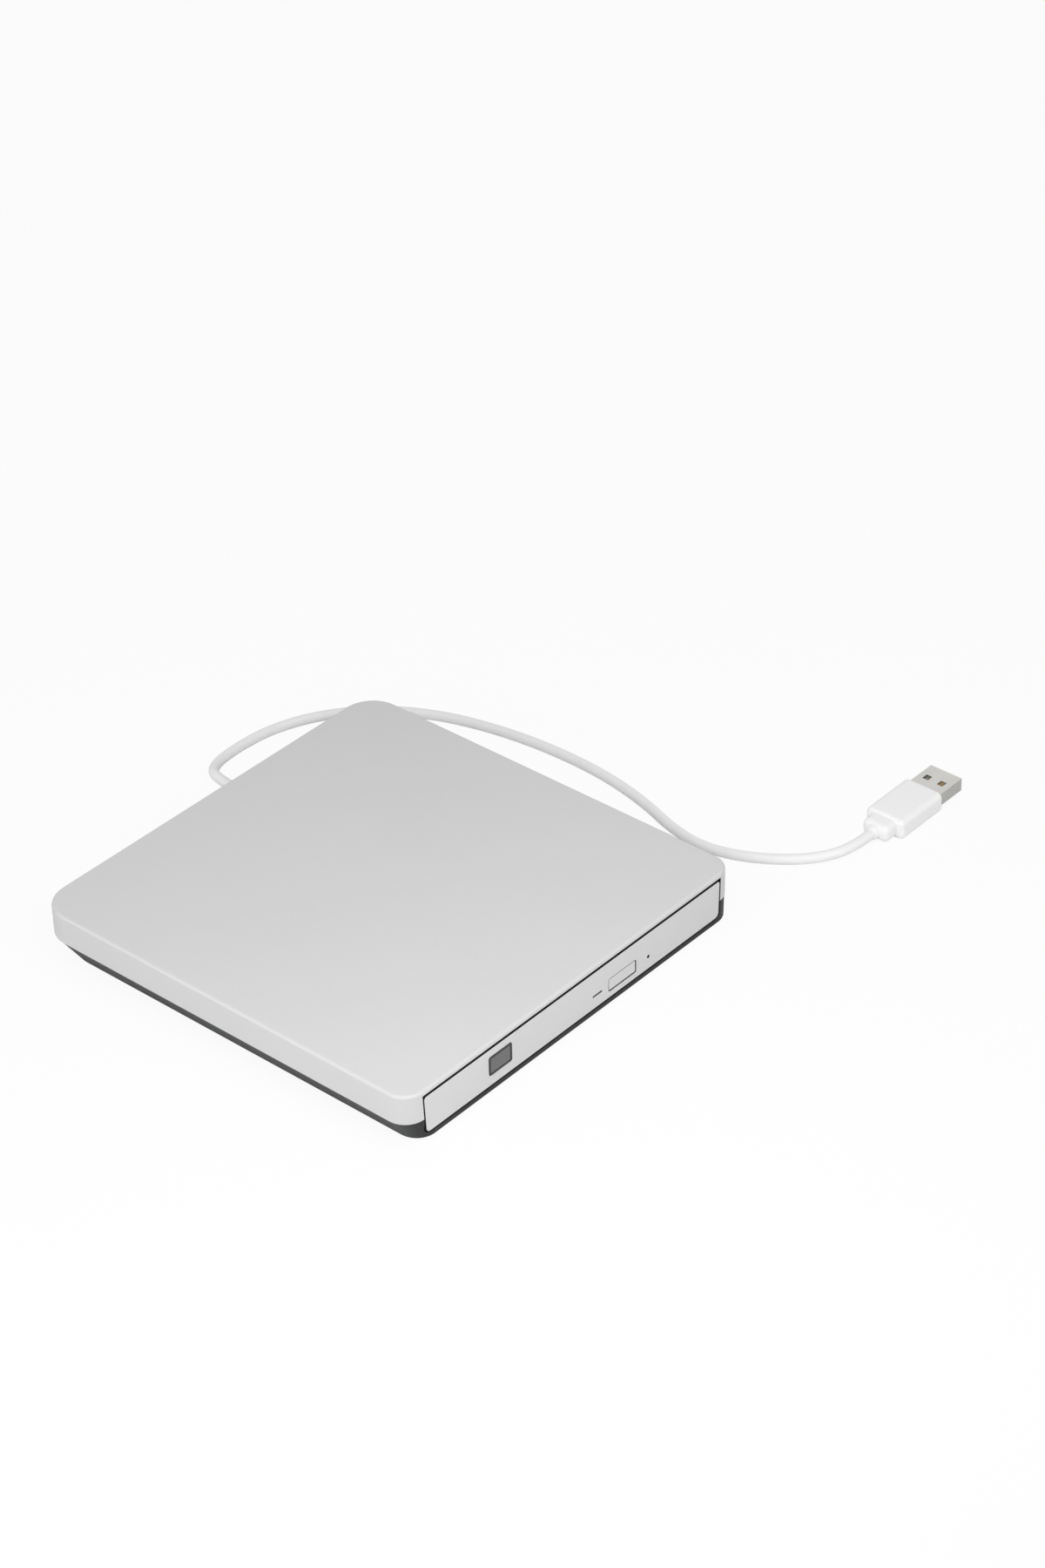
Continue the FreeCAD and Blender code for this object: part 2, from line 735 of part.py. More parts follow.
def slide_rail():
    """The middle rail on the right, grooved on both faces."""
    body = box(rail_inner, rail_outer, rail_front, rail_rear, rail_bottom, rail_top)
    half = rail_groove / 2
    outer = box(web_centre + rail_web / 2, rail_outer + 1, rail_front - 1, rail_rear + 1,
                rail_mid - half, rail_mid + half)
    inner = box(rail_inner - 1, web_centre - rail_web / 2, rail_front - 1, rail_rear + 1,
                rail_mid - half, rail_mid + half)
    return cut(body, outer, inner)


# ---------------------------------------------------------------- tray
def plate_outline(grow, z0, z1, hub, half, end):
    """The pickup window's shape: a disc round the hub joined to a band along the slot."""
    disc = rod(hub + grow, 0, 0, z0, z1)
    band = box(0, end + grow, -half - grow, half + grow, z0, z1)
    return fuse(disc, band)


def tray_plan(z0, z1, inset):
    """The tray's plan, with its rear corners rounded."""
    x = tray_half - inset
    y0, y1 = tray_front + inset, tray_rear - inset
    corners = [V(-x, y0, z0), V(x, y0, z0), V(x, y1, z0), V(-x, y1, z0)]
    r = max(tray_corner_radius - inset, 0.5)
    return prism(rounded_loop(corners, [0.4, 0.4, r, r]), Z * (z1 - z0))


def disc_tray():
    slab = tray_plan(floor_under, deck_top, 0)
    recess = rod(recess_radius, 0, disc_y, floor_top, deck_top + 1)
    small = rod(small_disc_radius, 0, disc_y, inner_floor, floor_top + 1)
    under = tray_plan(floor_under - 1, deck_top - deck_thickness, 1.0)
    under = under.cut(rod(recess_radius + recess_wall, 0, disc_y, floor_under - 2, deck_top))
    tray = cut(slab, recess, small, under)

    half = rail_groove / 2 - rail_tongue_play
    tip = web_centre - rail_web / 2 - rail_tongue_tip
    skirt = box(skirt_inner, skirt_outer, tray_front, tray_rear - skirt_rear_inset, rail_bottom,
                floor_under + 0.4)
    tongue = box(skirt_outer - 0.1, tip, rail_front, tray_rear - skirt_rear_inset, rail_mid - half,
                 rail_mid + half)
    side_rail = fuse(skirt, tongue)
    wall = box(-skirt_outer, skirt_outer, tray_front, tray_front + tray_wall, rail_bottom, deck_top)
    parts = [tray, side_rail, mirrored(side_rail), wall]
    for u, v in damper_places:
        parts.append(seated(rod(post_radius + 0.6, u, v, damper_top, floor_under + 0.3)))
    parts.append(box(board_left, board_left + 3, tray_front + 1, board_rear, board_top, floor_under + 0.3))
    parts.append(rod(2.2, latch_pivot_x, latch_pivot_y, latch_top + 0.1, deck_top - deck_thickness + 0.1))
    parts.append(box(magnet_left, magnet_right, magnet_front, magnet_rear, magnet_top, deck_top - 0.4))
    tray = fuse(*parts)

    hub, half = plate_hub_radius, plate_half_width
    seat = plate_outline(plate_fit, plate_bottom, deck_top, hub, half, slot_end + 0.9)
    through = plate_outline(-plate_ledge, frame_bottom, deck_top, hub, half, slot_end + 1.6)
    inside = rod(recess_radius - 0.4, 0, 0, frame_bottom, deck_top)
    tools = [seated(seat.common(inside)), seated(through.common(inside))]
    tools.append(box(button_x - 3.2, button_x + 3.2, tray_front - 1, tray_front + tray_wall + 0.01,
                     board_top, control_z + 2.4))
    tools.append(box(light_left - 0.8, light_left + light_width + 0.8, tray_front - 1,
                     tray_front + tray_wall + 0.01, board_top, control_z + 1.6))
    tools.append(rod(pivot_pin_radius, latch_pivot_x, latch_pivot_y, latch_bottom, floor_under + 0.9))
    for u, v in cover_screw_places():
        tools.append(seated(rod(0.67, u, v, floor_under - 1, plate_bottom + 0.01)))
    return cut(tray, *tools)


def front_bezel():
    body = prism(bezel_profile(front, 0, 0, 0), Y * bezel_depth)
    body = fillet_where(body, bezel_edge_radius, lambda b: b.YMax < front + 0.01)
    hollow = prism(bezel_profile(front + bezel_plate, 0, 0, 0, bezel_wall), Y * bezel_depth)
    bezel = body.cut(hollow)
    ribs = []
    for x in bezel_rib_places:
        ribs.append(box(x - bezel_rib_width / 2, x + bezel_rib_width / 2,
                        front + bezel_plate - 0.1, bezel_back,
                        bezel_bottom + bezel_wall - 0.1, bezel_top - bezel_wall + 0.1))
    bezel = fuse(bezel, *ribs)
    button = button_block(button_line, front - 1, front + bezel_plate + 1)
    light = box(light_left, light_left + light_width, front - 1, front + bezel_plate + 1,
                control_z - light_tall / 2, control_z + light_tall / 2)
    pin = Part.makeCylinder(pinhole_radius, bezel_plate + 2, V(pinhole_x, front - 1, control_z), Y)
    return cut(bezel, button, light, pin)


def button_block(grow, y0, y1):
    x0, x1 = button_left - grow, button_left + button_width + grow
    z0, z1 = control_z - button_tall / 2 - grow, control_z + button_tall / 2 + grow
    corners = [V(x0, y0, z0), V(x1, y0, z0), V(x1, y0, z1), V(x0, y0, z1)]
    return prism(rounded_loop(corners, [button_corner_radius + grow] * 4), Y * (y1 - y0))


def eject_button():
    flange_front = front + bezel_plate + button_flange_gap
    cap = button_block(0, front + 0.1, flange_front + 0.1)
    cap = fillet_where(cap, 0.25, lambda b: b.YMax < front + 0.11)
    flange = button_block(button_flange, flange_front, flange_front + button_flange_thickness)
    stem = box(button_x - 1.6, button_x + 1.6, flange_front, stem_end, control_z - 1.2, control_z + 1.2)
    return fuse(cap, flange, stem)


def light_pipe():
    z0, z1 = control_z - light_tall / 2, control_z + light_tall / 2
    window = box(light_left, light_left + light_width, front + 0.05, front + bezel_plate + 0.1, z0, z1)
    collar = box(light_left - 0.5, light_left + light_width + 0.5, front + bezel_plate,
                 bezel_back + tray_wall + 0.2, z0 - 0.3, z1 + 0.3)
    return fuse(window, collar)


def tray_board():
    return box(board_left, board_right, tray_front + tray_wall, board_rear, board_bottom, board_top)


def eject_switch():
    body = box(button_x - 2, button_x + 2, switch_front + 0.8, board_rear - 1, board_top, board_top + 2.6)
    plunger = box(button_x - 0.8, button_x + 0.8, switch_front, switch_front + 0.9,
                  control_z - 0.5, control_z + 0.5)
    return fuse(body, plunger)


def status_lamp():
    x = light_left + light_width / 2
    return box(x - 1.4, x + 1.4, bezel_back + tray_wall + 0.4, board_rear - 3, board_top, board_top + 1.6)


# ---------------------------------------------------------------- pickup mechanism
def traverse_frame():
    plate = box(frame_rear, frame_front, frame_far, frame_near, frame_bottom, frame_top)
    ear = rod(damper_radius + 1.2, damper_places[2][0], damper_places[2][1], frame_bottom, frame_top)
    bay = box(sled_start - sled_half_length - frame_clearance,
              sled_start + sled_travel + sled_half_length + frame_clearance,
              sled_far_side - frame_clearance, sled_near_side + frame_clearance,
              frame_bottom - 1, frame_top + 1)
    frame = fuse(plate, ear)
    frame = cut(frame, bay)
    seats = []
    for v in (rod_near, rod_far):
        for u0 in (rod_inner - rod_seat_length, rod_outer):
            seat = box(u0, u0 + rod_seat_length, v - rod_seat_half, v + rod_seat_half,
                       frame_top - 0.1, rod_z + rod_radius + 0.6)
            hole = Part.makeCylinder(rod_radius + 0.01, 200, V(-50, v, rod_z), X)
            seats.append(seat.cut(hole))
    bracket = box(rod_inner - rod_seat_length, rod_inner, screw_offset - 1.9, screw_offset + 1.9,
                  frame_top - 0.1, rod_z + 1.9)
    seats.append(bracket.cut(Part.makeCylinder(screw_radius + screw_fit, 60, V(0, screw_offset, rod_z), X)))
    frame = fuse(frame, *seats)
    tools = []
    for u, v in damper_places:
        tools.append(rod(damper_radius - 0.8, u, v, frame_bottom - 1, frame_top + 1))
    tools.append(rod(bearing_radius + 0.1, 0, 0, frame_bottom - 1, frame_top + 1))
    frame = seated(cut(frame, *tools))
    limit = skirt_inner - 0.5
    return frame.common(box(-limit, limit, tray_front + tray_wall + 0.3, tray_rear, 0, z_top))


def dampers():
    rings = []
    for u, v in damper_places:
        lower = tube(damper_radius, post_radius, u, v, frame_bottom - 0.3, frame_bottom)
        neck = tube(damper_radius - 0.8, post_radius - 0.5, u, v, frame_bottom - 0.3, frame_top + 0.1)
        upper = tube(damper_radius, post_radius - 0.5, u, v, frame_top, damper_top)
        rings.append(seated(fuse(lower, neck, upper)))
    return group(rings)


def damper_screws():
    screws = []
    for u, v in damper_places:
        shank = rod(post_radius - 0.55, u, v, frame_bottom - 0.3, damper_top)
        head = rod(damper_radius - 0.2, u, v, frame_bottom - 0.6, frame_bottom - 0.3)
        screws.append(seated(fuse(head, shank)))
    return group(screws)


def guide_rods():
    rods = []
    for v in (rod_near, rod_far):
        length = rod_outer - rod_inner + 2 * rod_seat_length - 0.6
        rods.append(seated(Part.makeCylinder(rod_radius, length,
                                             V(rod_inner - rod_seat_length + 0.3, v, rod_z), X)))
    return group(rods)


def sled_motor():
    body = Part.makeCylinder(sled_motor_radius, sled_motor_length, V(screw_end, screw_offset, rod_z), X)
    flats = box(screw_end - 1, screw_end + 20, screw_offset - 5, screw_offset + 5,
                frame_top, floor_under - 0.2)
    body = body.common(flats)
    hole = Part.makeCylinder(screw_radius + screw_fit, 2.0, V(screw_end - 0.01, screw_offset, rod_z), X)
    return seated(body.cut(hole))


def lead_screw():
    start = rod_inner - rod_seat_length + 0.3
    body = Part.makeCylinder(screw_radius, screw_end + 1.7 - start, V(start, screw_offset, rod_z), X)
    rings = []
    u = rod_inner + 2.0
    while u < screw_end - 3.0:
        groove = Part.makeTorus(screw_radius + 0.05, 0.28, V(u, screw_offset, rod_z), X)
        rings.append(groove)
        u += screw_pitch
    return seated(cut(body, *rings))


def pickup_sled():
    u0, u1 = sled_start - sled_half_length, sled_start + sled_half_length
    body = box(u0, u1, sled_far_side, sled_near_side, sled_bottom, sled_top)
    nut_tip = screw_offset + screw_radius + 0.3
    fork_top = rod_z + rod_radius + rod_fit
    arm = box(sled_start - 5, sled_start - 2, nut_tip, sled_far_side + 1.5, fork_top + 0.1, sled_top)
    nut = box(sled_start - 5, sled_start - 2, nut_tip, nut_tip + 1.4, rod_z - 0.6, sled_top)
    sled = fuse(body, arm, nut)
    near = Part.makeCylinder(rod_radius + rod_fit, 40, V(u0 - 5, rod_near, rod_z), X)
    fork = box(u0 - 1, u1 + 1, sled_far_side - 1, rod_far + rod_radius + rod_fit,
               rod_z - rod_radius - rod_fit, rod_z + rod_radius + rod_fit)
    relief = box(sled_start - 4.5, sled_start + 4.5, rod_near - 2.2, sled_near_side + 1,
                 sled_bottom - 1, sled_top + 1)
    corner = box(u1 - 5, u1 + 1, sled_far_side - 1, sled_far_side + 3.6, rod_z + 1.6, sled_top + 1)
    shelf = box(u0 - 1, u0 + 3.4, sled_far_side - 1, rod_near - 3.6, rod_z + 1.2, sled_top + 1)
    return seated(cut(sled, near, fork, relief, corner, shelf))


def lens_holder():
    z0, z1 = lens_bottom, lens_bottom + lens_holder_thickness
    body = rounded_block(sled_start - lens_holder_half_u, sled_start + lens_holder_half_u,
                         -lens_holder_half_v, lens_holder_half_v, z0, z1, 0.6)
    return seated(cut(body, rod(lens_radius, sled_start, 0, z0 - 1, z1 + 1)))


def lens():
    top = lens_bottom + lens_holder_thickness + lens_proud
    dome = Part.makeSphere(lens_dome_radius, V(sled_start, 0, top - lens_dome_radius))
    body = rod(lens_radius, sled_start, 0, lens_bottom + 0.1, top)
    return seated(body.common(dome))


def pickup_cover():
    plate = plate_outline(0, plate_bottom, inner_floor, plate_hub_radius, plate_half_width, slot_end + 0.8)
    hub = rod(hub_hole_radius, 0, 0, plate_bottom - 1, inner_floor + 1)
    slot = box(slot_start, slot_end, -slot_half, slot_half, plate_bottom - 1, inner_floor + 1)
    neck = box(0, slot_start + 1, -slot_half + 2.4, slot_half - 2.4, plate_bottom - 1, inner_floor + 1)
    inside = rod(recess_radius - 0.6, 0, 0, 0, z_top)
    tools = [hub, slot, neck]
    for u, v in cover_screw_places():
        tools.append(rod(0.7, u, v, plate_bottom - 1, inner_floor + 1))
    return seated(cut(plate, *tools).common(inside))


def cover_screw_places():
    edge = plate_half_width - 1.2
    return ((slot_start + 12, edge), (slot_start + 12, -edge), (-plate_hub_radius + 1.4, 0))


def cover_screws():
    screws = []
    for u, v in cover_screw_places():
        head = rod(1.1, u, v, inner_floor, inner_floor + 0.35)
        shank = rod(0.65, u, v, floor_under + 0.1, inner_floor)
        screws.append(seated(fuse(head, shank)))
    return group(screws)


# ---------------------------------------------------------------- spindle
def spindle_motor():
    base = rod(rotor_radius + 0.4, 0, disc_y, frame_top, frame_top + motor_base_thickness)
    stator = rod(stator_radius, 0, disc_y, frame_top, rotor_top - 1.6)
    bearing = rod(bearing_radius, 0, disc_y, frame_bottom - 0.2, bearing_top)
    motor = fuse(base, stator, bearing)
    teeth = []
    for i in range(9):
        slot = box(3.6, stator_radius + 1, -0.7, 0.7, frame_top + motor_base_thickness, rotor_top)
        slot.rotate(V(0, 0, 0), Z, i * 40.0)
        slot.translate(V(0, disc_y, 0))
        teeth.append(slot)
    bore = rod(shaft_radius + shaft_fit, 0, disc_y, frame_bottom + 0.3, rotor_top + 1)
    return cut(motor, bore, *teeth)


def turntable():
    shaft = rod(shaft_radius, 0, disc_y, frame_bottom + 0.5, rotor_top)
    can = rod(rotor_radius, 0, disc_y, rotor_bottom, rotor_top)
    can = can.cut(rod(rotor_radius - rotor_wall, 0, disc_y, rotor_bottom - 1, rotor_top - 0.6))
    neck = rod(hub_radius + 1.6, 0, disc_y, rotor_top - 0.1, turntable_top)
    seat = rod(turntable_radius, 0, disc_y, turntable_top - turntable_thickness, turntable_top)
    hub = rod(hub_radius, 0, disc_y, turntable_top - 0.1, disc_seat + hub_height)
    hub = fillet_where(hub, 0.6, lambda b: b.ZMin > disc_seat + hub_height - 0.01)
    table = fuse(can, shaft, neck, seat, hub)
    cuts = [rod(2.2, 0, disc_y, disc_seat + hub_height - 0.5, disc_seat + hub_height + 1)]
    for i in range(3):
        cuts.append(claw_block(i, 0.1))
    return cut(table, *cuts)


def claw_block(i, grow):
    block = box(hub_radius - 2.4 - grow, hub_radius + claw_reach, -claw_width / 2 - grow,
                claw_width / 2 + grow, disc_seat + 0.3 - grow, disc_seat + hub_height - 0.5 + grow)
    block.rotate(V(0, 0, 0), Z, 120.0 * i)
    block.translate(V(0, disc_y, 0))
    return block


def hub_claws():
    claws = []
    for i in range(3):
        claw = claw_block(i, 0)
        cone = Part.makeCone(hub_radius + claw_reach + 0.3, hub_radius - 0.5, hub_height - 0.4,
                             V(0, disc_y, disc_seat + 0.2))
        claws.append(claw.common(cone))
    return group(claws)


def turntable_ring():
    return tube(turntable_radius - 0.3, turntable_radius - 3.0, 0, disc_y, turntable_top, disc_seat)


# ---------------------------------------------------------------- latch
def latch_lever():
    px, py = latch_pivot_x, latch_pivot_y
    tip_y = pin_y + pin_radius + latch_hook_play
    arm = box(px - latch_width / 2, px + latch_width / 2, py, tip_y + 1.8, latch_bottom, latch_top)
    hook = box(px, pin_x - pin_radius + latch_bite, tip_y, tip_y + 1.8, latch_bottom, latch_top)
    tail = box(px, px + 9.6, py - 1.3, py + 1.3, latch_bottom, latch_top)
    eye = rod(2.2, px, py, latch_bottom, latch_top)
    lever = fuse(arm, hook, tail, eye)
    lever = lever.cut(rod(pivot_pin_radius + latch_fit, px, py, latch_bottom - 1, latch_top + 1))
    lever.rotate(V(px, py, 0), Z, latch_swing)
    return lever


def latch_pivot():
    pin = rod(pivot_pin_radius, latch_pivot_x, latch_pivot_y, latch_bottom - 0.3, floor_under + 0.8)
    head = rod(1.4, latch_pivot_x, latch_pivot_y, latch_bottom - 0.5, latch_bottom - 0.2)
    return fuse(pin, head)


def latch_magnet():
    body = box(magnet_left, magnet_right, magnet_front, magnet_rear, frame_bottom, magnet_top)
    coil = box(magnet_left + 2, magnet_right - 2, magnet_front - 0.6, magnet_rear + 0.6,
               frame_bottom + 0.6, magnet_top - 0.6)
    return fuse(body, coil)


def latch_pin():
    pin = rod(pin_radius, pin_x, pin_y, pan_floor, latch_top + 1.2)
    foot = rod(2.6, pin_x, pin_y, pan_floor, pan_floor + 0.4)
    return fuse(pin, foot)


# ---------------------------------------------------------------- electronics
def bridge_boss_places():
    return (bridge_left + 3.4, bridge_right - 3.4)


def bridge_board():
    plate = box(bridge_left, bridge_right, bridge_front, bridge_front + bridge_depth,
                bridge_bottom, bridge_top)
    holes = [rod(0.95, x, bridge_boss_y, bridge_bottom - 1, bridge_top + 1) for x in bridge_boss_places()]
    return cut(plate, *holes)


def components(corner, blocks, cans):
    """The components that stand on a board, in one group."""
    parts = [box(corner.x + x0, corner.x + x1, corner.y + y0, corner.y + y1, corner.z, corner.z + height)
             for x0, x1, y0, y1, height in blocks]
    parts += [rod(radius, corner.x + x, corner.y + y, corner.z, corner.z + height)
              for x, y, radius, height in cans]
    return group(parts)


def bridge_chips():
    """The bridge chip, a crystal, two capacitors and the cable's terminal."""
    return components(V(plug_right, bridge_front, bridge_top), bridge_blocks, bridge_cans)


def small_screws():
    screws = []
    for x in (-ear_x, ear_x):
        screws.append(pan_head_screw(x, ear_y, pan_floor, -1.3, 0.78, 1.7, -1.0, 1))
    for x in bridge_boss_places():
        screws.append(pan_head_screw(x, bridge_boss_y, bridge_top, -1.7, 0.78, 1.6, -0.9, 1))
    return group(screws)


def drive_board():
    right = drive_board_left + drive_board_width
    plate = box(drive_board_left, right, drive_board_front, drive_board_rear, pan_floor, drive_board_top)
    notch = box(flex_right + 4, right + 1, drive_board_front - 1, drive_board_front + drive_board_notch,
                pan_floor - 1, drive_board_top + 1)
    return plate.cut(notch)


def drive_chips():
    """The processor, the motor driver, the memory, the ribbon's clamp and two capacitors."""
    return components(V(drive_board_left, drive_board_front, drive_board_top), drive_blocks, drive_cans)


def drive_connector():
    """The drive's own plug, with its tongue reaching out behind the chassis."""
    body = box(plug_left, plug_right, drive_rear - drive_plug_inside, drive_rear + drive_plug_outside,
               drive_board_top, drive_board_top + connector_height)
    tongue = box(plug_left + drive_tongue_inset, plug_right - drive_tongue_inset,
                 drive_rear, drive_rear + drive_tongue_length,
                 connector_mid - drive_tongue_half, connector_mid + drive_tongue_half)
    return fuse(body, tongue)


def bridge_connector():
    """The board's socket, which takes the drive's tongue."""
    y0 = drive_rear + socket_gap
    body = box(plug_left - socket_overlap, plug_right + socket_overlap, y0, y0 + socket_depth,
               bridge_top, connector_mid + socket_half)
    slot = box(plug_left + socket_slot_inset, plug_right - socket_slot_inset, y0 - 1,
               y0 + socket_slot_depth, connector_mid - socket_slot_half, connector_mid + socket_slot_half)
    return cut(body, slot)


def flex_ribbon():
    """The flat flexible cable, folded once under the tray."""
    low = pan_floor
    r = flex_fold_radius
    t = flex_thickness
    y = flex_fold_y
    lower = box(flex_left, flex_right, y, drive_board_front, low, low + t)
    upper = box(flex_left, flex_right, y, y + flex_tail, low + 2 * r - t, low + 2 * r)
    bend = Part.makeCylinder(r, flex_right - flex_left, V(flex_left, y, low + r), X)
    bend = bend.cut(Part.makeCylinder(r - t, flex_right - flex_left + 2, V(flex_left - 1, y, low + r), X))
    bend = bend.common(box(flex_left, flex_right, y - r - 1, y, low - 1, low + 2 * r + 1))
    return fuse(lower, upper, bend)


# ---------------------------------------------------------------- cable
def boot_seat():
    """The hole in the base's back wall that the cable's boot fills."""
    return Part.makeCylinder(boot_neck_radius + 0.05, 20, V(cord_x, rear - 12, cord_exit), Y)


def cable_boot():
    """The strain relief: a flange inside the wall, a neck through it and a grooved taper."""
    wall_inside = rear - slope(cord_exit - boot_flange_radius, base_draw_back) - base_wall
    flange_y = wall_inside - 0.05 - boot_flange_thickness
    start = rear + boot_standout - boot_length
    flange = Part.makeCylinder(boot_flange_radius, boot_flange_thickness, V(cord_x, flange_y, cord_exit), Y)
    neck = Part.makeCylinder(boot_neck_radius, start + 0.2 - flange_y, V(cord_x, flange_y, cord_exit), Y)
    taper = Part.makeCone(boot_radius, boot_tip_radius, boot_length, V(cord_x, start, cord_exit), Y)
    boot = fuse(flange, neck, taper)
    grooves = []
    for i in range(3):
        place = V(cord_x, start + boot_first_groove + boot_groove_pitch * i, cord_exit)
        ring = Part.makeCylinder(boot_radius + 1, boot_groove, place, Y)
        core = Part.makeCylinder(cord_diameter / 2 + 0.25, boot_groove, place, Y)
        grooves.append(ring.cut(core))
    return cut(boot, *grooves)


def cord_path():
    """Straight runs joined by tangent arcs as large as the runs allow."""
    edges = []
    start = cord_route[0]
    for before, corner, after in zip(cord_route, cord_route[1:], cord_route[2:]):
        half_turn = (corner - before).getAngle(after - corner) / 2
        run = min(before.distanceToPoint(corner), corner.distanceToPoint(after))
        radius = 0.45 * run / math.tan(half_turn)
        arc_start, middle, arc_end = corner_arc(before, corner, after, radius)
        edges.append(Part.LineSegment(start, arc_start).toShape())
        edges.append(Part.Arc(arc_start, middle, arc_end).toShape())
        start = arc_end
    edges.append(Part.LineSegment(start, cord_route[-1]).toShape())
    return Part.Wire(edges)


def usb_cord():
    path = cord_path()
    direction = cord_route[1] - cord_route[0]
    section = Part.Wire([Part.makeCircle(cord_diameter / 2, cord_route[0], direction)])
    print("cord length", round(path.Length, 1))
    return path.makePipeShell([section], True, False)


def plug_block(x0, x1, width, height, radius):
    """A block along the plug with its long edges rounded."""
    y, z = plug_start.y, plug_start.z
    corners = [V(x0, y - width / 2, z - height / 2), V(x0, y + width / 2, z - height / 2),
               V(x0, y + width / 2, z + height / 2), V(x0, y - width / 2, z + height / 2)]
    return prism(rounded_loop(corners, [radius] * 4), X * (x1 - x0))


def plug_overmold():
    """The grip, with a narrower collar behind it and a short cone round the cable."""
    body = plug_block(body_x, shell_x, plug_overmold_width, plug_overmold_height, plug_corner_radius)
    body = fillet_where(body, plug_rear_rounding, lambda b: b.XMax < body_x + 0.01)
    body = fillet_where(body, plug_front_rounding, lambda b: b.XMin > shell_x - 0.01)
    collar_x = body_x - plug_collar_length
    collar = plug_block(collar_x, body_x + plug_rear_rounding, plug_collar_width, plug_collar_height,
                        plug_corner_radius)
    collar = fillet_where(collar, plug_collar_rounding, lambda b: b.XMax < collar_x + 0.01)
    cone = Part.makeCone(cord_diameter / 2 + 0.35, cord_diameter / 2 + 0.9, collar_x + 0.2 - plug_start.x,
                         plug_start, X)
    return cut(fuse(body, collar, cone), plug_pocket())


def plug_pocket():
    """The seat that the metal shell fills inside the moulding."""
    return plug_space(0, shell_x - plug_socket_depth, shell_x + 1)


def plug_space(wall, x0, x1):
    """The metal shell's outer block, or its inner space when the wall is taken off."""
    half_w, half_h = plug_shell_width / 2 - wall, plug_shell_height / 2 - wall
    y, z = plug_start.y, plug_start.z
    return box(x0, x1, y - half_w, y + half_w, z - half_h, z + half_h)


def plug_shell():
    x0, x1 = shell_x - plug_socket_depth, shell_x + plug_shell_length
    tools = [plug_space(plug_sheet, x0 - 1, x1 + 1)]
    z = plug_start.z
    for dy in (-plug_window_offset, plug_window_offset):
        y = plug_start.y + dy
        tools.append(box(shell_x + plug_window_start, shell_x + plug_window_end, y - plug_window_half,
                         y + plug_window_half, z - plug_shell_height, z + plug_shell_height))
    return cut(plug_space(0, x0, x1), *tools)


def plug_tongue():
    half_w = plug_shell_width / 2 - plug_sheet - plug_tongue_gap
    y0, y1 = plug_start.y - half_w, plug_start.y + half_w
    low, high = contact_face() - plug_tongue_height, plug_start.z + plug_shell_height / 2 - plug_sheet
    x0 = shell_x - plug_socket_depth
    body = box(x0, shell_x + plug_shell_length - 0.8, y0, y1, low, contact_face())
    root = box(x0, shell_x + 0.6, y0, y1, low, high)
    tongue = fuse(body, root)
    slots = [contact_block(dy, length) for dy, length in contact_layout]
    return cut(tongue, *slots)


def contact_face():
    """Height of the tongue's upper face, which carries the contacts."""
    return plug_start.z - plug_shell_height / 2 + plug_sheet + plug_tongue_height


def contact_block(dy, length):
    top = contact_face()
    end = shell_x + plug_shell_length - 1.4
    y = plug_start.y + dy
    return box(end - length, end, y - contact_width / 2, y + contact_width / 2, top - 0.25, top)


def plug_contacts():
    return group([contact_block(dy, length) for dy, length in contact_layout])


# ---------------------------------------------------------------- export
NODES = {
    "top_cover": top_cover, "base_cover": base_cover, "rubber_feet": rubber_feet,
    "case_screws": case_screws, "small_screws": small_screws,
    "drive_pan": drive_pan, "drive_lid": drive_lid,
    "rail_guide_right": rail_guide, "rail_guide_left": lambda: mirrored(rail_guide()),
    "slide_rail_right": slide_rail, "slide_rail_left": lambda: mirrored(slide_rail()),
    "disc_tray": disc_tray, "front_bezel": front_bezel, "eject_button": eject_button,
    "light_pipe": light_pipe, "tray_board": tray_board, "eject_switch": eject_switch,
    "status_lamp": status_lamp, "traverse_frame": traverse_frame, "dampers": dampers,
    "damper_screws": damper_screws, "guide_rods": guide_rods, "sled_motor": sled_motor,
    "lead_screw": lead_screw, "pickup_sled": pickup_sled, "lens_holder": lens_holder,
    "lens": lens, "pickup_cover": pickup_cover, "cover_screws": cover_screws,
    "spindle_motor": spindle_motor, "turntable": turntable, "hub_claws": hub_claws,
    "turntable_ring": turntable_ring, "latch_lever": latch_lever, "latch_pivot": latch_pivot,
    "latch_magnet": latch_magnet, "latch_pin": latch_pin, "bridge_board": bridge_board,
    "bridge_chips": bridge_chips, "bridge_connector": bridge_connector,
    "drive_board": drive_board, "drive_chips": drive_chips, "drive_connector": drive_connector,
    "flex_ribbon": flex_ribbon, "cable_boot": cable_boot, "usb_cord": usb_cord,
    "plug_overmold": plug_overmold, "plug_shell": plug_shell, "plug_tongue": plug_tongue,
    "plug_contacts": plug_contacts,
}

os.makedirs("parts", exist_ok=True)
for name, make in NODES.items():
    shape = make()
    shape.exportStep("parts/" + name + ".step")
    print(name, len(shape.Solids), round(shape.Volume, 1), "ok" if shape.isValid() else "INVALID")
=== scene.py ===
"""A slim external disc drive: its finishes, its cable and the soft light it stands in."""

import json
import math

import bmesh
import bpy
from mathutils import Matrix, Vector


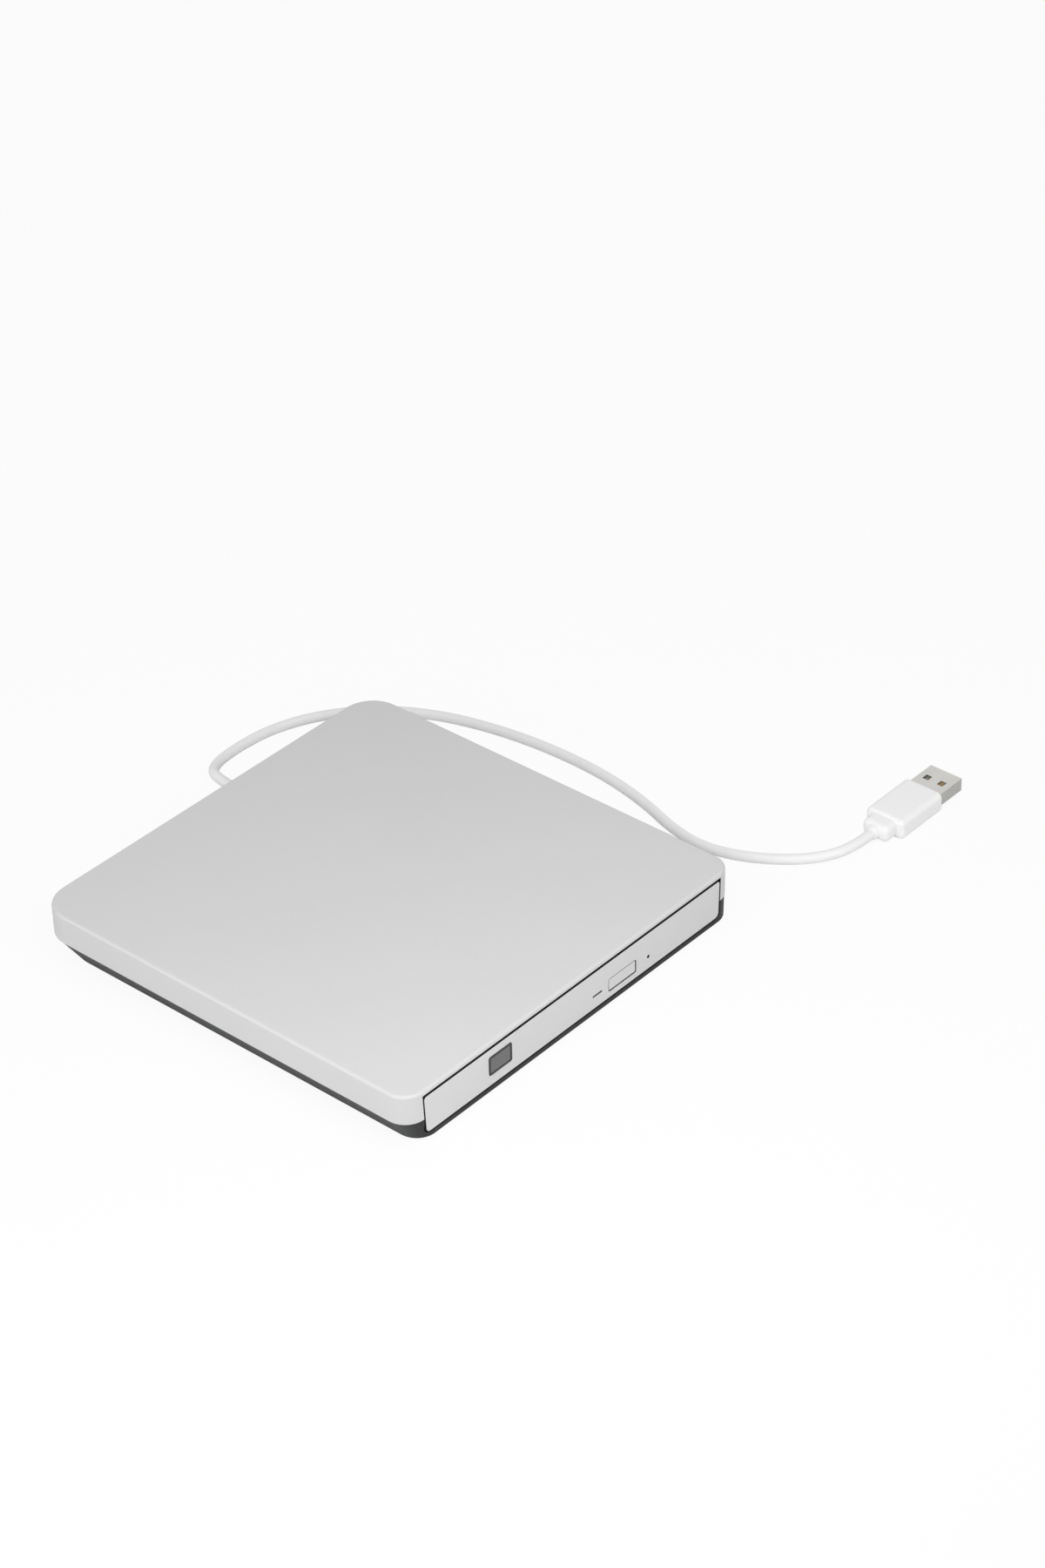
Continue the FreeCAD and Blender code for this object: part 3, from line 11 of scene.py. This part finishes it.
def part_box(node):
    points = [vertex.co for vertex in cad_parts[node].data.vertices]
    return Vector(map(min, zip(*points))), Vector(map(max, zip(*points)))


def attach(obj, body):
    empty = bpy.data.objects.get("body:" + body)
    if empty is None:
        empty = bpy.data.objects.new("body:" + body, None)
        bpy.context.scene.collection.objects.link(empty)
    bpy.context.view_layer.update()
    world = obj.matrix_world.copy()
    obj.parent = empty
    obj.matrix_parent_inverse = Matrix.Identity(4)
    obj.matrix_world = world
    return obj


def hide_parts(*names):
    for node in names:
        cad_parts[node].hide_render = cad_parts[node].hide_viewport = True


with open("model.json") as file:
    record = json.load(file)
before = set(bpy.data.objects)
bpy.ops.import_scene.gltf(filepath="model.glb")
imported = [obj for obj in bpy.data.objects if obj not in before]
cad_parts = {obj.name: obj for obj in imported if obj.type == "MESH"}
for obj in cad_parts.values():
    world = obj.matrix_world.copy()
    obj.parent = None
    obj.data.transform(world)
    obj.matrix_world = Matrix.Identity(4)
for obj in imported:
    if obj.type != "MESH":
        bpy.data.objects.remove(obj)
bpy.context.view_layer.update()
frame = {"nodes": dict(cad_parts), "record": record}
nodes = frame["nodes"]

MM = 0.001


# ---------------------------------------------------------------- camera

CAMERA_ANGLES = (-48.454, 34.701, -1.438)       # azimuth, elevation and roll, in degrees
CAMERA_START = (0, 0, 0.8 * MM)                 # a point under the middle of the drive
CAMERA_SHIFT = (40.58, 44.34, 1221)             # from there to the camera's right, up and back, in mm
CAMERA_LENS, CAMERA_SENSOR = 92.28, 36          # focal length and sensor width, in mm


def make_camera():
    """A long lens that looks down on the front corner from the left."""
    azimuth, elevation, roll = (math.radians(angle) for angle in CAMERA_ANGLES)
    back = Vector((math.sin(azimuth) * math.cos(elevation), -math.cos(azimuth) * math.cos(elevation),
                   math.sin(elevation)))
    level = Vector((math.cos(azimuth), math.sin(azimuth), 0))
    upright = back.cross(level)
    right = level * math.cos(roll) + upright * math.sin(roll)
    up = upright * math.cos(roll) - level * math.sin(roll)
    shift_right, shift_up, shift_back = CAMERA_SHIFT
    shift = (shift_right * right + shift_up * up + shift_back * back) * MM
    place = shift + Vector(CAMERA_START)
    data = bpy.data.cameras.new("camera")
    data.lens = CAMERA_LENS
    data.sensor_width = CAMERA_SENSOR
    data.clip_start, data.clip_end = 0.05, 20
    camera = bpy.data.objects.new("camera", data)
    camera.matrix_world = Matrix.Translation(place) @ Matrix((right, up, back)).transposed().to_4x4()
    bpy.context.scene.collection.objects.link(camera)
    bpy.context.scene.camera = camera


make_camera()


# ---------------------------------------------------------------- cable

CABLE_DIAMETER = 3.4 * MM
CABLE_LYING = 0.00175           # the middle of the cable where it lies on the floor
CABLE_ROUTE = (
    (0.0203, 0.0810, 0.0054), (0.0203, 0.0926, 0.0054), (0.0272, 0.1016, 0.0025),
    (0.0405, 0.1038, CABLE_LYING), (0.0565, 0.1024, CABLE_LYING), (0.0725, 0.0954, CABLE_LYING),
    (0.0865, 0.0826, CABLE_LYING), (0.0964, 0.0656, CABLE_LYING), (0.1020, 0.0455, CABLE_LYING),
    (0.1045, 0.0240, CABLE_LYING), (0.1040, 0.0015, CABLE_LYING), (0.1002, -0.0182, CABLE_LYING),
    (0.0946, -0.0340, CABLE_LYING), (0.0927, -0.0472, CABLE_LYING), (0.0959, -0.0590, CABLE_LYING),
    (0.1018, -0.0696, CABLE_LYING), (0.1098, -0.0788, 0.0019), (0.1186, -0.0857, 0.0036),
    (0.1291, -0.0857, 0.0036),
)


def make_cable():
    """The captive lead: one smooth line from the boot at the back to the plug."""
    curve = bpy.data.curves.new("cable", "CURVE")
    curve.dimensions = "3D"
    spline = curve.splines.new("NURBS")
    spline.points.add(len(CABLE_ROUTE) - 1)
    for point, place in zip(spline.points, CABLE_ROUTE):
        point.co = (*place, 1)
        point.radius = CABLE_DIAMETER / 2
    spline.order_u = 3
    spline.use_endpoint_u = True
    spline.resolution_u = 24
    curve.bevel_depth = 1           # times each point's radius, so that the curve's box is the cable's
    curve.bevel_resolution = 12
    curve.use_fill_caps = True
    cable = bpy.data.objects.new("cable", curve)
    bpy.context.scene.collection.objects.link(cable)
    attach(cable, "case")
    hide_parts("usb_cord")
    return cable


cable = make_cable()


# ---------------------------------------------------------------- finishes

MIX_FACTOR, MIX_FIRST, MIX_SECOND, MIX_COLOUR = 0, 6, 7, 2      # a Mix node's sockets for colours


class Value:
    """An output socket in a graph. Arithmetic on it adds Math nodes."""

    def __init__(self, graph, socket):
        self.graph = graph
        self.socket = socket

    def math(self, operation, *operands):
        return self.graph.node("ShaderNodeMath", {"operation": operation}, dict(enumerate(operands)))

    def __add__(self, other):
        return self.math("ADD", self, other)

    def __mul__(self, other):
        return self.math("MULTIPLY", self, other)

    def __sub__(self, other):
        return self.math("SUBTRACT", self, other)

    def __rsub__(self, other):
        return self.math("SUBTRACT", other, self)

    def __abs__(self):
        return self.math("ABSOLUTE", self)

    def __gt__(self, other):
        return self.math("GREATER_THAN", self, other)

    def __lt__(self, other):
        return self.math("LESS_THAN", self, other)

    __radd__ = __add__
    __rmul__ = __mul__

    def at_least(self, other):
        return self.math("MAXIMUM", self, other)

    def at_most(self, other):
        return self.math("MINIMUM", self, other)

    def root(self):
        return self.math("SQRT", self)


class Graph:
    """The node tree of a material or of the world."""

    def __init__(self, tree):
        self.tree = tree

    def link(self, value, socket):
        self.tree.links.new(value.socket, socket)

    def node(self, kind, settings=None, inputs=None, output=0):
        """Adds a node: its settings first, then the values or links of its sockets."""
        made = self.tree.nodes.new(kind)
        for name, value in (settings or {}).items():
            if name == "stops":
                for _ in range(len(value) - len(made.color_ramp.elements)):
                    made.color_ramp.elements.new(1)
                for element, (position, level) in zip(made.color_ramp.elements, value):
                    element.position = position
                    element.color = (level, level, level, 1)
            else:
                setattr(made, name, value)
        for name, value in (inputs or {}).items():
            if isinstance(value, Value):
                self.link(value, made.inputs[name])
            else:
                made.inputs[name].default_value = value
        return Value(self, made.outputs[output])


class Finish(Graph):
    """One material, made of nodes around a Principled shader."""

    def __init__(self, name, **constants):
        self.material = bpy.data.materials.new(name)
        self.material.use_nodes = True
        super().__init__(self.material.node_tree)
        self.shader = self.tree.nodes["Principled BSDF"]
        for keyword, value in constants.items():
            self.socket_of(keyword).default_value = value
        self.place = self.node("ShaderNodeTexCoord", output="Object")

    def socket_of(self, keyword):
        """The shader's socket that a keyword such as Base_Color names."""
        return self.shader.inputs[keyword.replace("_", " ")]

    def feed(self, **varying):
        """Links what varies over the surface to the shader."""
        for keyword, value in varying.items():
            self.link(value, self.socket_of(keyword))

    def along(self, axis):
        """One coordinate of the place, in metres."""
        return self.node("ShaderNodeSeparateXYZ", None, {"Vector": self.place}, axis)

    def stretched(self, scale):
        """Places scaled along each axis, in cycles per metre."""
        return self.node("ShaderNodeVectorMath", {"operation": "MULTIPLY"}, {0: self.place, 1: scale})

    def noise(self, per_metre, detail=3.0, roughness=0.5):
        """Cloudy noise, as fine in every direction or with its own fineness along each axis."""
        scale = per_metre if isinstance(per_metre, tuple) else (per_metre,) * 3
        return self.node("ShaderNodeTexNoise", None, {
            "Vector": self.stretched(scale), "Scale": 1.0, "Detail": detail, "Roughness": roughness})

    def cells(self, per_metre, feature="F1"):
        """Distances in a pattern of cells."""
        return self.node("ShaderNodeTexVoronoi", {"feature": feature},
                         {"Vector": self.stretched((per_metre,) * 3), "Scale": 1.0}, "Distance")

    def graded(self, factor, *stops):
        """A ramp of greys, whose stops are pairs of a position and a level."""
        return self.node("ShaderNodeValToRGB", {"stops": stops}, {"Fac": factor}, "Color")

    def blended(self, factor, first, second):
        """From the first colour to the second."""
        return self.node("ShaderNodeMix", {"data_type": "RGBA"}, {
            MIX_FACTOR: factor,
            MIX_FIRST: first if isinstance(first, Value) else (*first, 1),
            MIX_SECOND: second if isinstance(second, Value) else (*second, 1)}, MIX_COLOUR)

    def raised(self, height, depth):
        """The surface's normal with a height on it, in metres."""
        return self.node("ShaderNodeBump", None, {"Height": height, "Distance": depth, "Strength": 1.0},
                         "Normal")


def shade(level):
    """The linear value of a screen level from 0 to 255, by the sRGB curve."""
    share = level / 255
    return share / 12.92 if share <= 0.04045 else ((share + 0.055) / 1.055) ** 2.4


def tone(red, green, blue):
    """The linear colour of three screen levels."""
    return (shade(red), shade(green), shade(blue))


def scaled(colour, factor):
    """A colour made lighter or darker, short of more than white."""
    return tuple(min(1.0, channel * factor) for channel in colour)


COVER_CORNER = 7 * MM               # radius of the cover's front corners
COVER_REAR_ROUNDER = 4 * MM         # how much more the rear ones have
COVER_SPRAYED = 0.12 * MM           # depth of the paint from the cover's outline inwards
COVER_LIP = 0.62 * MM               # from the top down to where bare plastic can show
SPRAYED_EDGE = 0.04 * MM            # how far the paint goes round a front piece's edge


def inside_cover(finish):
    """1 on the cover's inner side, its lower rim and under its lip, which the spray doesn't reach."""
    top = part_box("top_cover")[1]
    radius = COVER_CORNER + COVER_REAR_ROUNDER * (finish.along("Y") > 0)
    across = abs(finish.along("X")) - (top.x - radius)
    deep = abs(finish.along("Y")) - (top.y - radius)
    past_x, past_y = across.at_least(0), deep.at_least(0)
    past_corner = (past_x * past_x + past_y * past_y).root()
    outline = past_corner + across.at_least(deep).at_most(0) - radius
    return (outline < -COVER_SPRAYED) * (finish.along("Z") < top.z - COVER_LIP)


def behind_face(node):
    """A mask that is 1 behind a front piece's face, which alone is sprayed."""
    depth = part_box(node)[0].y + SPRAYED_EDGE
    return lambda finish: finish.along("Y") > depth


def painted_shade_under_bezel(finish):
    """Painted shade under the bezel: from 0 to 1 over the last millimetres before the base's front."""
    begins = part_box("base_cover")[0].y + 5 * MM
    fade = 4 * MM
    return ((begins - finish.along("Y")) * (1 / fade)).at_least(0).at_most(1)


def satin_paint(name, colour, unsprayed):
    """Sprayed metallic paint on dark plastic: fine flakes, a slight orange peel and uneven sheen."""
    finish = Finish(name, Coat_Roughness=0.3, Specular_IOR_Level=0.35)
    flakes = finish.noise(5200, detail=1.0)
    clouds = finish.noise(26, detail=4.0, roughness=0.6)
    rubbed = finish.noise((60, 240, 60), detail=5.0, roughness=0.65)
    ground = finish.blended(clouds, scaled(colour, 0.965), scaled(colour, 1.03))
    paint = finish.blended(finish.graded(flakes, (0.4, 0.0), (0.72, 1.0)), ground, scaled(colour, 1.05))
    bare = unsprayed(finish)
    finish.feed(
        Base_Color=finish.blended(bare, paint, BARE_PLASTIC),
        Metallic=0.10 * (1 - bare),
        Coat_Weight=0.05 * (1 - bare),
        Roughness=0.56 + 0.16 * (rubbed - 0.5) + 0.10 * (flakes - 0.5) + 0.15 * bare,
        Normal=finish.raised(flakes + 0.6 * finish.noise(900, detail=2.0), 0.006 * MM))
    return finish.material


def moulded(name, colour, grain_per_metre=2600, grain_depth=0.03, roughness=0.55, painted_shade=None):
    """Injection-moulded plastic with a spark-eroded grain, and painted shade, darker where a mask says so.
    """
    finish = Finish(name, Specular_IOR_Level=0.45)
    grain = finish.noise(grain_per_metre, detail=2.0, roughness=0.6)
    clouds = finish.noise(38, detail=4.0, roughness=0.6)
    smears = finish.noise((90, 30, 60), detail=4.0)
    plain = finish.blended(clouds * 0.7 + grain * 0.3, scaled(colour, 0.82), scaled(colour, 1.2))
    if painted_shade:
        # painted shade: the colour falls to a quarter where the mask is 1
        plain = finish.blended(painted_shade(finish), plain, scaled(colour, 0.25))
    finish.feed(
        Base_Color=plain,
        Roughness=roughness + 0.12 * (smears - 0.5) + 0.12 * (grain - 0.5),
        Normal=finish.raised(grain, grain_depth * MM))
    return finish.material


def soft_jacket(name, colour, grain_depth=0.006, roughness=0.46):
    """Pale flexible plastic, a little waxy, with faint handling marks."""
    finish = Finish(name, Specular_IOR_Level=0.4)
    grain = finish.noise(3400, detail=2.0)
    marks = finish.noise(120, detail=5.0, roughness=0.7)
    soiled = finish.graded(marks, (0.56, 0.0), (0.80, 1.0))
    finish.feed(
        Base_Color=finish.blended(soiled * 0.5, colour, scaled(colour, 0.9)),
        Roughness=roughness + 0.2 * (marks - 0.5) + 0.08 * (grain - 0.5),
        Normal=finish.raised(grain + 0.5 * marks, grain_depth * MM))
    return finish.material


def rubbery(name, colour):
    """Matt rubber with dust in its pores."""
    finish = Finish(name, Specular_IOR_Level=0.3)
    grain = finish.noise(1800, detail=4.0, roughness=0.7)
    dust = finish.graded(finish.noise(240, detail=5.0, roughness=0.7), (0.5, 0.0), (0.85, 1.0))
    finish.feed(
        Base_Color=finish.blended(dust * 0.35, colour, (0.16, 0.155, 0.15)),
        Roughness=0.82 + 0.12 * (grain - 0.5),
        Normal=finish.raised(grain, 0.05 * MM))
    return finish.material


def brushed_metal(name, colour, across=(1, 1, 1), roughness=0.34, depth=0.004):
    """Rolled or ground metal with fine lines; across gives how closely they lie along each axis."""
    finish = Finish(name, Metallic=1.0)
    lines = finish.noise(tuple(90 + 5200 * share for share in across), detail=3.0, roughness=0.6)
    stains = finish.noise(55, detail=5.0, roughness=0.62)
    finish.feed(
        Base_Color=finish.blended(stains, scaled(colour, 0.84), scaled(colour, 1.1)),
        Roughness=roughness + 0.18 * (lines - 0.5) + 0.16 * (stains - 0.5),
        Normal=finish.raised(lines, depth * MM))
    return finish.material


def spangled_sheet(name, colour):
    """Zinc-plated sheet steel, whose crystals show faintly."""
    finish = Finish(name, Metallic=1.0)
    crystals = finish.cells(420)
    rolled = finish.noise((60, 2600, 60), detail=3.0)
    finish.feed(
        Base_Color=finish.blended(crystals, scaled(colour, 0.9), scaled(colour, 1.12)),
        Roughness=0.40 + 0.14 * (crystals - 0.5) + 0.10 * (rolled - 0.5),
        Normal=finish.raised(rolled + 0.4 * crystals, 0.004 * MM))
    return finish.material


def cast_metal(name, colour):
    """Die-cast light metal with a sandy skin."""
    finish = Finish(name, Metallic=0.9)
    skin = finish.noise(1700, detail=4.0, roughness=0.65)
    flow = finish.noise(130, detail=4.0)
    finish.feed(
        Base_Color=finish.blended(flow, scaled(colour, 0.8), scaled(colour, 1.2)),
        Roughness=0.48 + 0.2 * (skin - 0.5),
        Normal=finish.raised(skin, 0.03 * MM))
    return finish.material


def circuit_board(name, colour):
    """Glass-fibre board under solder mask, with tracks that show as faint ridges."""
    finish = Finish(name, Specular_IOR_Level=0.5)
    weave = finish.noise((2500, 2500, 400), detail=1.0)
    tracks = finish.graded(finish.cells(900, "DISTANCE_TO_EDGE"), (0.03, 1.0), (0.07, 0.0))
    finish.feed(
        Base_Color=finish.blended(tracks * 0.5 + weave * 0.2, colour, scaled(colour, 2.0)),
        Roughness=0.34 + 0.14 * (weave - 0.5),
        Normal=finish.raised(tracks + 0.2 * weave, 0.02 * MM))
    return finish.material


def clear_moulding(name, colour, transmission):
    """Clear plastic, slightly frosted."""
    finish = Finish(name, Transmission_Weight=transmission, IOR=1.49)
    frost = finish.noise(2400, detail=3.0)
    finish.feed(
        Base_Color=finish.blended(frost, scaled(colour, 0.93), colour),
        Roughness=0.16 + 0.14 * (frost - 0.5),
        Normal=finish.raised(frost, 0.004 * MM))
    return finish.material


def coated_lens(name):
    """Objective lens with a blue-violet anti-reflection coating."""
    finish = Finish(name, Transmission_Weight=0.55, IOR=1.52, Coat_Weight=0.6)
    tint = finish.noise(700, detail=1.0)
    finish.feed(
        Base_Color=finish.blended(tint, tone(120, 130, 205), tone(165, 125, 210)),
        Roughness=0.04 + 0.04 * tint)
    return finish.material


def polyimide(name):
    """Amber flat cable with its conductors running along it."""
    finish = Finish(name, Coat_Weight=0.4, Coat_Roughness=0.2)
    conductors = finish.node("ShaderNodeTexWave", {"wave_type": "BANDS", "bands_direction": "X"}, {
        "Vector": finish.place, "Scale": 620.0}, "Fac")
    finish.feed(
        Base_Color=finish.blended(conductors, tone(188, 120, 48), tone(226, 170, 92)),
        Roughness=0.3 + 0.12 * conductors,
        Normal=finish.raised(conductors, 0.02 * MM))
    return finish.material


SILVER = tone(206, 206, 206)
BEZEL_SILVER = tone(210, 210, 210)
CHARCOAL = tone(58, 59, 61)
BARE_PLASTIC = tone(26, 26, 27)
PALE_CABLE = tone(240, 240, 240)

FINISHES = {
    "silver_cover": satin_paint("silver_cover_paint", SILVER, inside_cover),
    "silver_bezel": satin_paint("silver_bezel_paint", BEZEL_SILVER, behind_face("front_bezel")),
    "button": satin_paint("button_paint", BEZEL_SILVER, behind_face("eject_button")),
    # the base's front strip under the bezel carries painted shade
    "black_base": moulded("charcoal_base_plastic", CHARCOAL, grain_per_metre=2200, roughness=0.5,
                          painted_shade=painted_shade_under_bezel),
    "foot_rubber": rubbery("foot_rubber", (0.022, 0.022, 0.023)),
    "screw": brushed_metal("black_nickel", tone(96, 96, 98), across=(1, 0.2, 1), roughness=0.36),
    "sheet_steel": spangled_sheet("zinc_sheet", tone(188, 190, 192)),
    "guide_plastic": moulded("guide_plastic", tone(46, 47, 50), roughness=0.45, grain_depth=0.01),
    "rail_steel": brushed_metal("rail_steel", tone(196, 197, 198), across=(1, 0, 1)),
    "tray_plastic": moulded("tray_plastic", tone(44, 45, 48), grain_per_metre=3000, grain_depth=0.025),
    "clear": clear_moulding("smoky_light_pipe", tone(24, 24, 25), transmission=0.1),
    "circuit_board": circuit_board("solder_mask", tone(22, 84, 56)),
    "component": moulded("component_black", tone(38, 38, 40), grain_per_metre=4200, grain_depth=0.008,
                         roughness=0.6),
    "lamp": clear_moulding("lamp_resin", tone(214, 236, 214), transmission=0.6),
    "cover_plate": brushed_metal("brushed_plate", tone(176, 178, 181), across=(0, 1, 0), roughness=0.38),
    "frame_steel": spangled_sheet("traverse_sheet", tone(158, 160, 163)),
    "damper_rubber": rubbery("damper_rubber", (0.035, 0.035, 0.04)),
    "rod_steel": brushed_metal("ground_steel", tone(210, 211, 212), across=(0.6, 0.6, 0.6), roughness=0.22,
                               depth=0.002),
    "motor": brushed_metal("plated_motor", tone(172, 168, 158), across=(0.1, 0.1, 1), roughness=0.32),
    "sled_metal": cast_metal("cast_sled", tone(150, 152, 154)),
    "lens_mount": moulded("lens_mount_black", tone(30, 30, 32), grain_depth=0.006, roughness=0.5),
    "lens_glass": coated_lens("coated_lens"),
    "turntable_plastic": moulded("turntable_black", tone(34, 34, 36), grain_depth=0.006, roughness=0.3),
    "ring_rubber": rubbery("ring_rubber", (0.05, 0.05, 0.052)),
    "claw_plastic": moulded("claw_ivory", tone(214, 212, 204), grain_depth=0.006, roughness=0.4),
    "lever_plastic": moulded("lever_ivory", tone(220, 219, 212), grain_depth=0.008, roughness=0.45),
    "flex": polyimide("amber_flex"),
    "cable_white": soft_jacket("pale_jacket", PALE_CABLE),
    "plug_white": soft_jacket("pale_overmould", tone(245, 245, 245), grain_depth=0.003, roughness=0.42),
    "plug_steel": brushed_metal("plug_nickel", tone(205, 204, 200), across=(0.1, 1, 1), roughness=0.2,
                                depth=0.002),
    "plug_insert": moulded("plug_insert_white", tone(222, 222, 220), grain_depth=0.006, roughness=0.4),
    "contact_gold": brushed_metal("gold_flash", tone(232, 192, 110), across=(0, 1, 1), roughness=0.2,
                                  depth=0.002),
}


def dress():
    """Every carried-over node takes its slot's finish."""
    for row in frame["record"]["subparts"]:
        node = nodes[row["node"]]
        for material_slot in node.material_slots:
            material_slot.link = "OBJECT"
            material_slot.material = FINISHES[row["material_slot"]]


dress()
cable.data.materials.append(FINISHES["cable_white"])


# ---------------------------------------------------------------- plate on the bezel

def rounded_rectangle(left, right, low, high, radius, steps=6):
    """Corner points, anticlockwise, of a rectangle with rounded corners."""
    corners = ((right - radius, high - radius, 0), (left + radius, high - radius, 90),
               (left + radius, low + radius, 180), (right - radius, low + radius, 270))
    points = []
    for corner_x, corner_z, start in corners:
        for step in range(steps + 1):
            angle = math.radians(start + 90 * step / steps)
            points.append((corner_x + radius * math.cos(angle), corner_z + radius * math.sin(angle)))
    return points


def add_object(name, mesh, *materials):
    """The scene's object for a finished mesh."""
    data = bpy.data.meshes.new(name)
    mesh.to_mesh(data)
    mesh.free()
    for material in materials:
        data.materials.append(material)
    made = bpy.data.objects.new(name, data)
    bpy.context.scene.collection.objects.link(made)
    return made


def join_rings(mesh, loops):
    """Walls between rings of points, and a face over the first and the last ring."""
    for outer, inner in zip(loops, loops[1:]):
        for index in range(len(outer)):
            following = (index + 1) % len(outer)
            mesh.faces.new((outer[index], outer[following], inner[following], inner[index]))
    mesh.faces.new(loops[-1])
    mesh.faces.new(list(reversed(loops[0])))
    bmesh.ops.recalc_face_normals(mesh, faces=mesh.faces)


def make_plate():
    """A small bare dark plate let into the bezel, with a thin raised rim."""
    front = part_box("front_bezel")[0].y
    left, right, low, high = -39.4 * MM, -29.3 * MM, 6.5 * MM, 13.3 * MM
    corner, least_corner = 0.8 * MM, 0.1 * MM
    rings = (                           # inset from the plate's edge, and how far it stands proud
        (0.0, 0.0),
        (0.0, 0.10 * MM),
        (0.06 * MM, 0.15 * MM),         # the rim's outer edge
        (0.80 * MM, 0.15 * MM),         # its inner edge
        (0.86 * MM, 0.09 * MM),         # the sunk field
    )
    mesh = bmesh.new()
    loops = []
    for inset, proud in rings:
        outline = rounded_rectangle(left + inset, right - inset, low + inset, high - inset,
                                    max(corner - inset, least_corner))
        loops.append([mesh.verts.new((x, front - proud, z)) for x, z in outline])
    join_rings(mesh, loops)
    plate = add_object(
        "bezel_plate", mesh,
        moulded("plate_rim_dark", tone(34, 34, 35), grain_depth=0.006, roughness=0.4),
        moulded("plate_graphite", tone(98, 98, 99), grain_per_metre=3600, grain_depth=0.006,
                roughness=0.35))
    # Of the two faces with the most corners, the field is the one in front.
    field = max(plate.data.polygons, key=lambda polygon: (len(polygon.vertices), -polygon.center.y))
    field.material_index = 1
    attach(plate, "tray")


make_plate()


# ---------------------------------------------------------------- shield under the pickup

def make_shield():
    """A pressed steel shield under the pickup's bay, hung from the traverse frame."""
    frame_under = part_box("traverse_frame")[0].z
    hub_low, hub_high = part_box("turntable")
    middle = (hub_low + hub_high) / 2
    along, across = Vector((1, -1, 0)).normalized(), Vector((1, 1, 0)).normalized()
    start, end, near, far = 12 * MM, 65.2 * MM, -11.2 * MM, 14.6 * MM       # from the turntable's axis
    corner = 3.2 * MM
    rings = (                           # inset from the shield's edge, and drop below the frame
        (0.60 * MM, 0.30 * MM),         # upper face
        (0.15 * MM, 0.0),
        (0.0, 0.0),
        (0.50 * MM, 0.45 * MM),         # lower face
    )
    mesh = bmesh.new()
    loops = []
    for inset, drop in rings:
        outline = rounded_rectangle(start + inset, end - inset, near + inset, far - inset,
                                    corner - inset)
        loops.append([mesh.verts.new((*(middle + along * u + across * v).xy, frame_under - drop))
                      for u, v in outline])
    join_rings(mesh, loops)
    shield = add_object("pickup_shield", mesh, FINISHES["frame_steel"])
    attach(shield, "tray")


make_shield()


# ---------------------------------------------------------------- floor and light

FLOOR_DROP = 0.1 * MM           # below the feet's lower faces
FLOOR_GLOW = 0.92               # share of plain white where the floor is seen; the rest keeps the shadow
WORLD_LIGHT = 0.56              # strength of the surroundings as a light
LAMPS = (                       # name, place, width and power in watts
    ("above_front", (-0.10, -0.22, 0.30), 0.3, 0.65),
    ("low_left", (-0.35, -0.10, 0.20), 0.3, 0.31),
    ("low_back_left", (-0.50, 0.35, 0.15), 0.4, 0.63),
    ("low_front_right", (0.45, -0.45, 0.15), 0.4, 0.27),
)


def make_floor():
    """A white floor that keeps a soft shadow under the drive."""
    mesh = bmesh.new()
    bmesh.ops.create_grid(mesh, x_segments=4, y_segments=4, size=6)
    finish = Finish("floor_paper", Roughness=0.9, Specular_IOR_Level=0.1)
    fibres = finish.noise(40, detail=5.0)
    finish.feed(Base_Color=finish.blended(fibres, (0.80, 0.80, 0.80), (0.83, 0.83, 0.83)))
    seen = finish.node("ShaderNodeLightPath", output="Is Camera Ray")
    glow = finish.node("ShaderNodeEmission", None, {"Color": (1, 1, 1, 1), "Strength": 1.0})
    paper = Value(finish, finish.shader.outputs[0])
    surface = finish.node("ShaderNodeMixShader", None, {0: seen * FLOOR_GLOW, 1: paper, 2: glow})
    finish.link(surface, finish.tree.nodes["Material Output"].inputs["Surface"])
    floor = add_object("floor", mesh, finish.material)
    floor.location.z = -FLOOR_DROP


def make_world(level):
    """White where it is seen, directly or in a polished surface, and soft grey as a light."""
    world = bpy.data.worlds.new("studio")
    world.use_nodes = True
    graph = Graph(world.node_tree)
    direct, mirrored, through = (graph.node("ShaderNodeLightPath", output=f"Is {kind} Ray")
                                 for kind in ("Camera", "Glossy", "Transmission"))
    seen = direct.at_least(mirrored).at_least(through)
    background = graph.tree.nodes["Background"]
    background.inputs["Color"].default_value = (1, 1, 1, 1)
    graph.link(seen * (1 - level) + level, background.inputs["Strength"])
    bpy.context.scene.world = world


def make_lamp(name, place, width, power):
    """A round soft lamp that looks at the middle of the drive, and isn't seen itself."""
    data = bpy.data.lights.new(name, "AREA")
    data.shape = "DISK"
    data.size = width
    data.energy = power
    lamp = bpy.data.objects.new(name, data)
    lamp.matrix_world = (Matrix.Translation(place)
                         @ Vector(place).to_track_quat("Z", "Y").to_matrix().to_4x4())
    lamp.visible_camera = False
    bpy.context.scene.collection.objects.link(lamp)


make_floor()
make_world(WORLD_LIGHT)
for lamp in LAMPS:
    make_lamp(*lamp)

bpy.context.scene.view_settings.view_transform = "Standard"
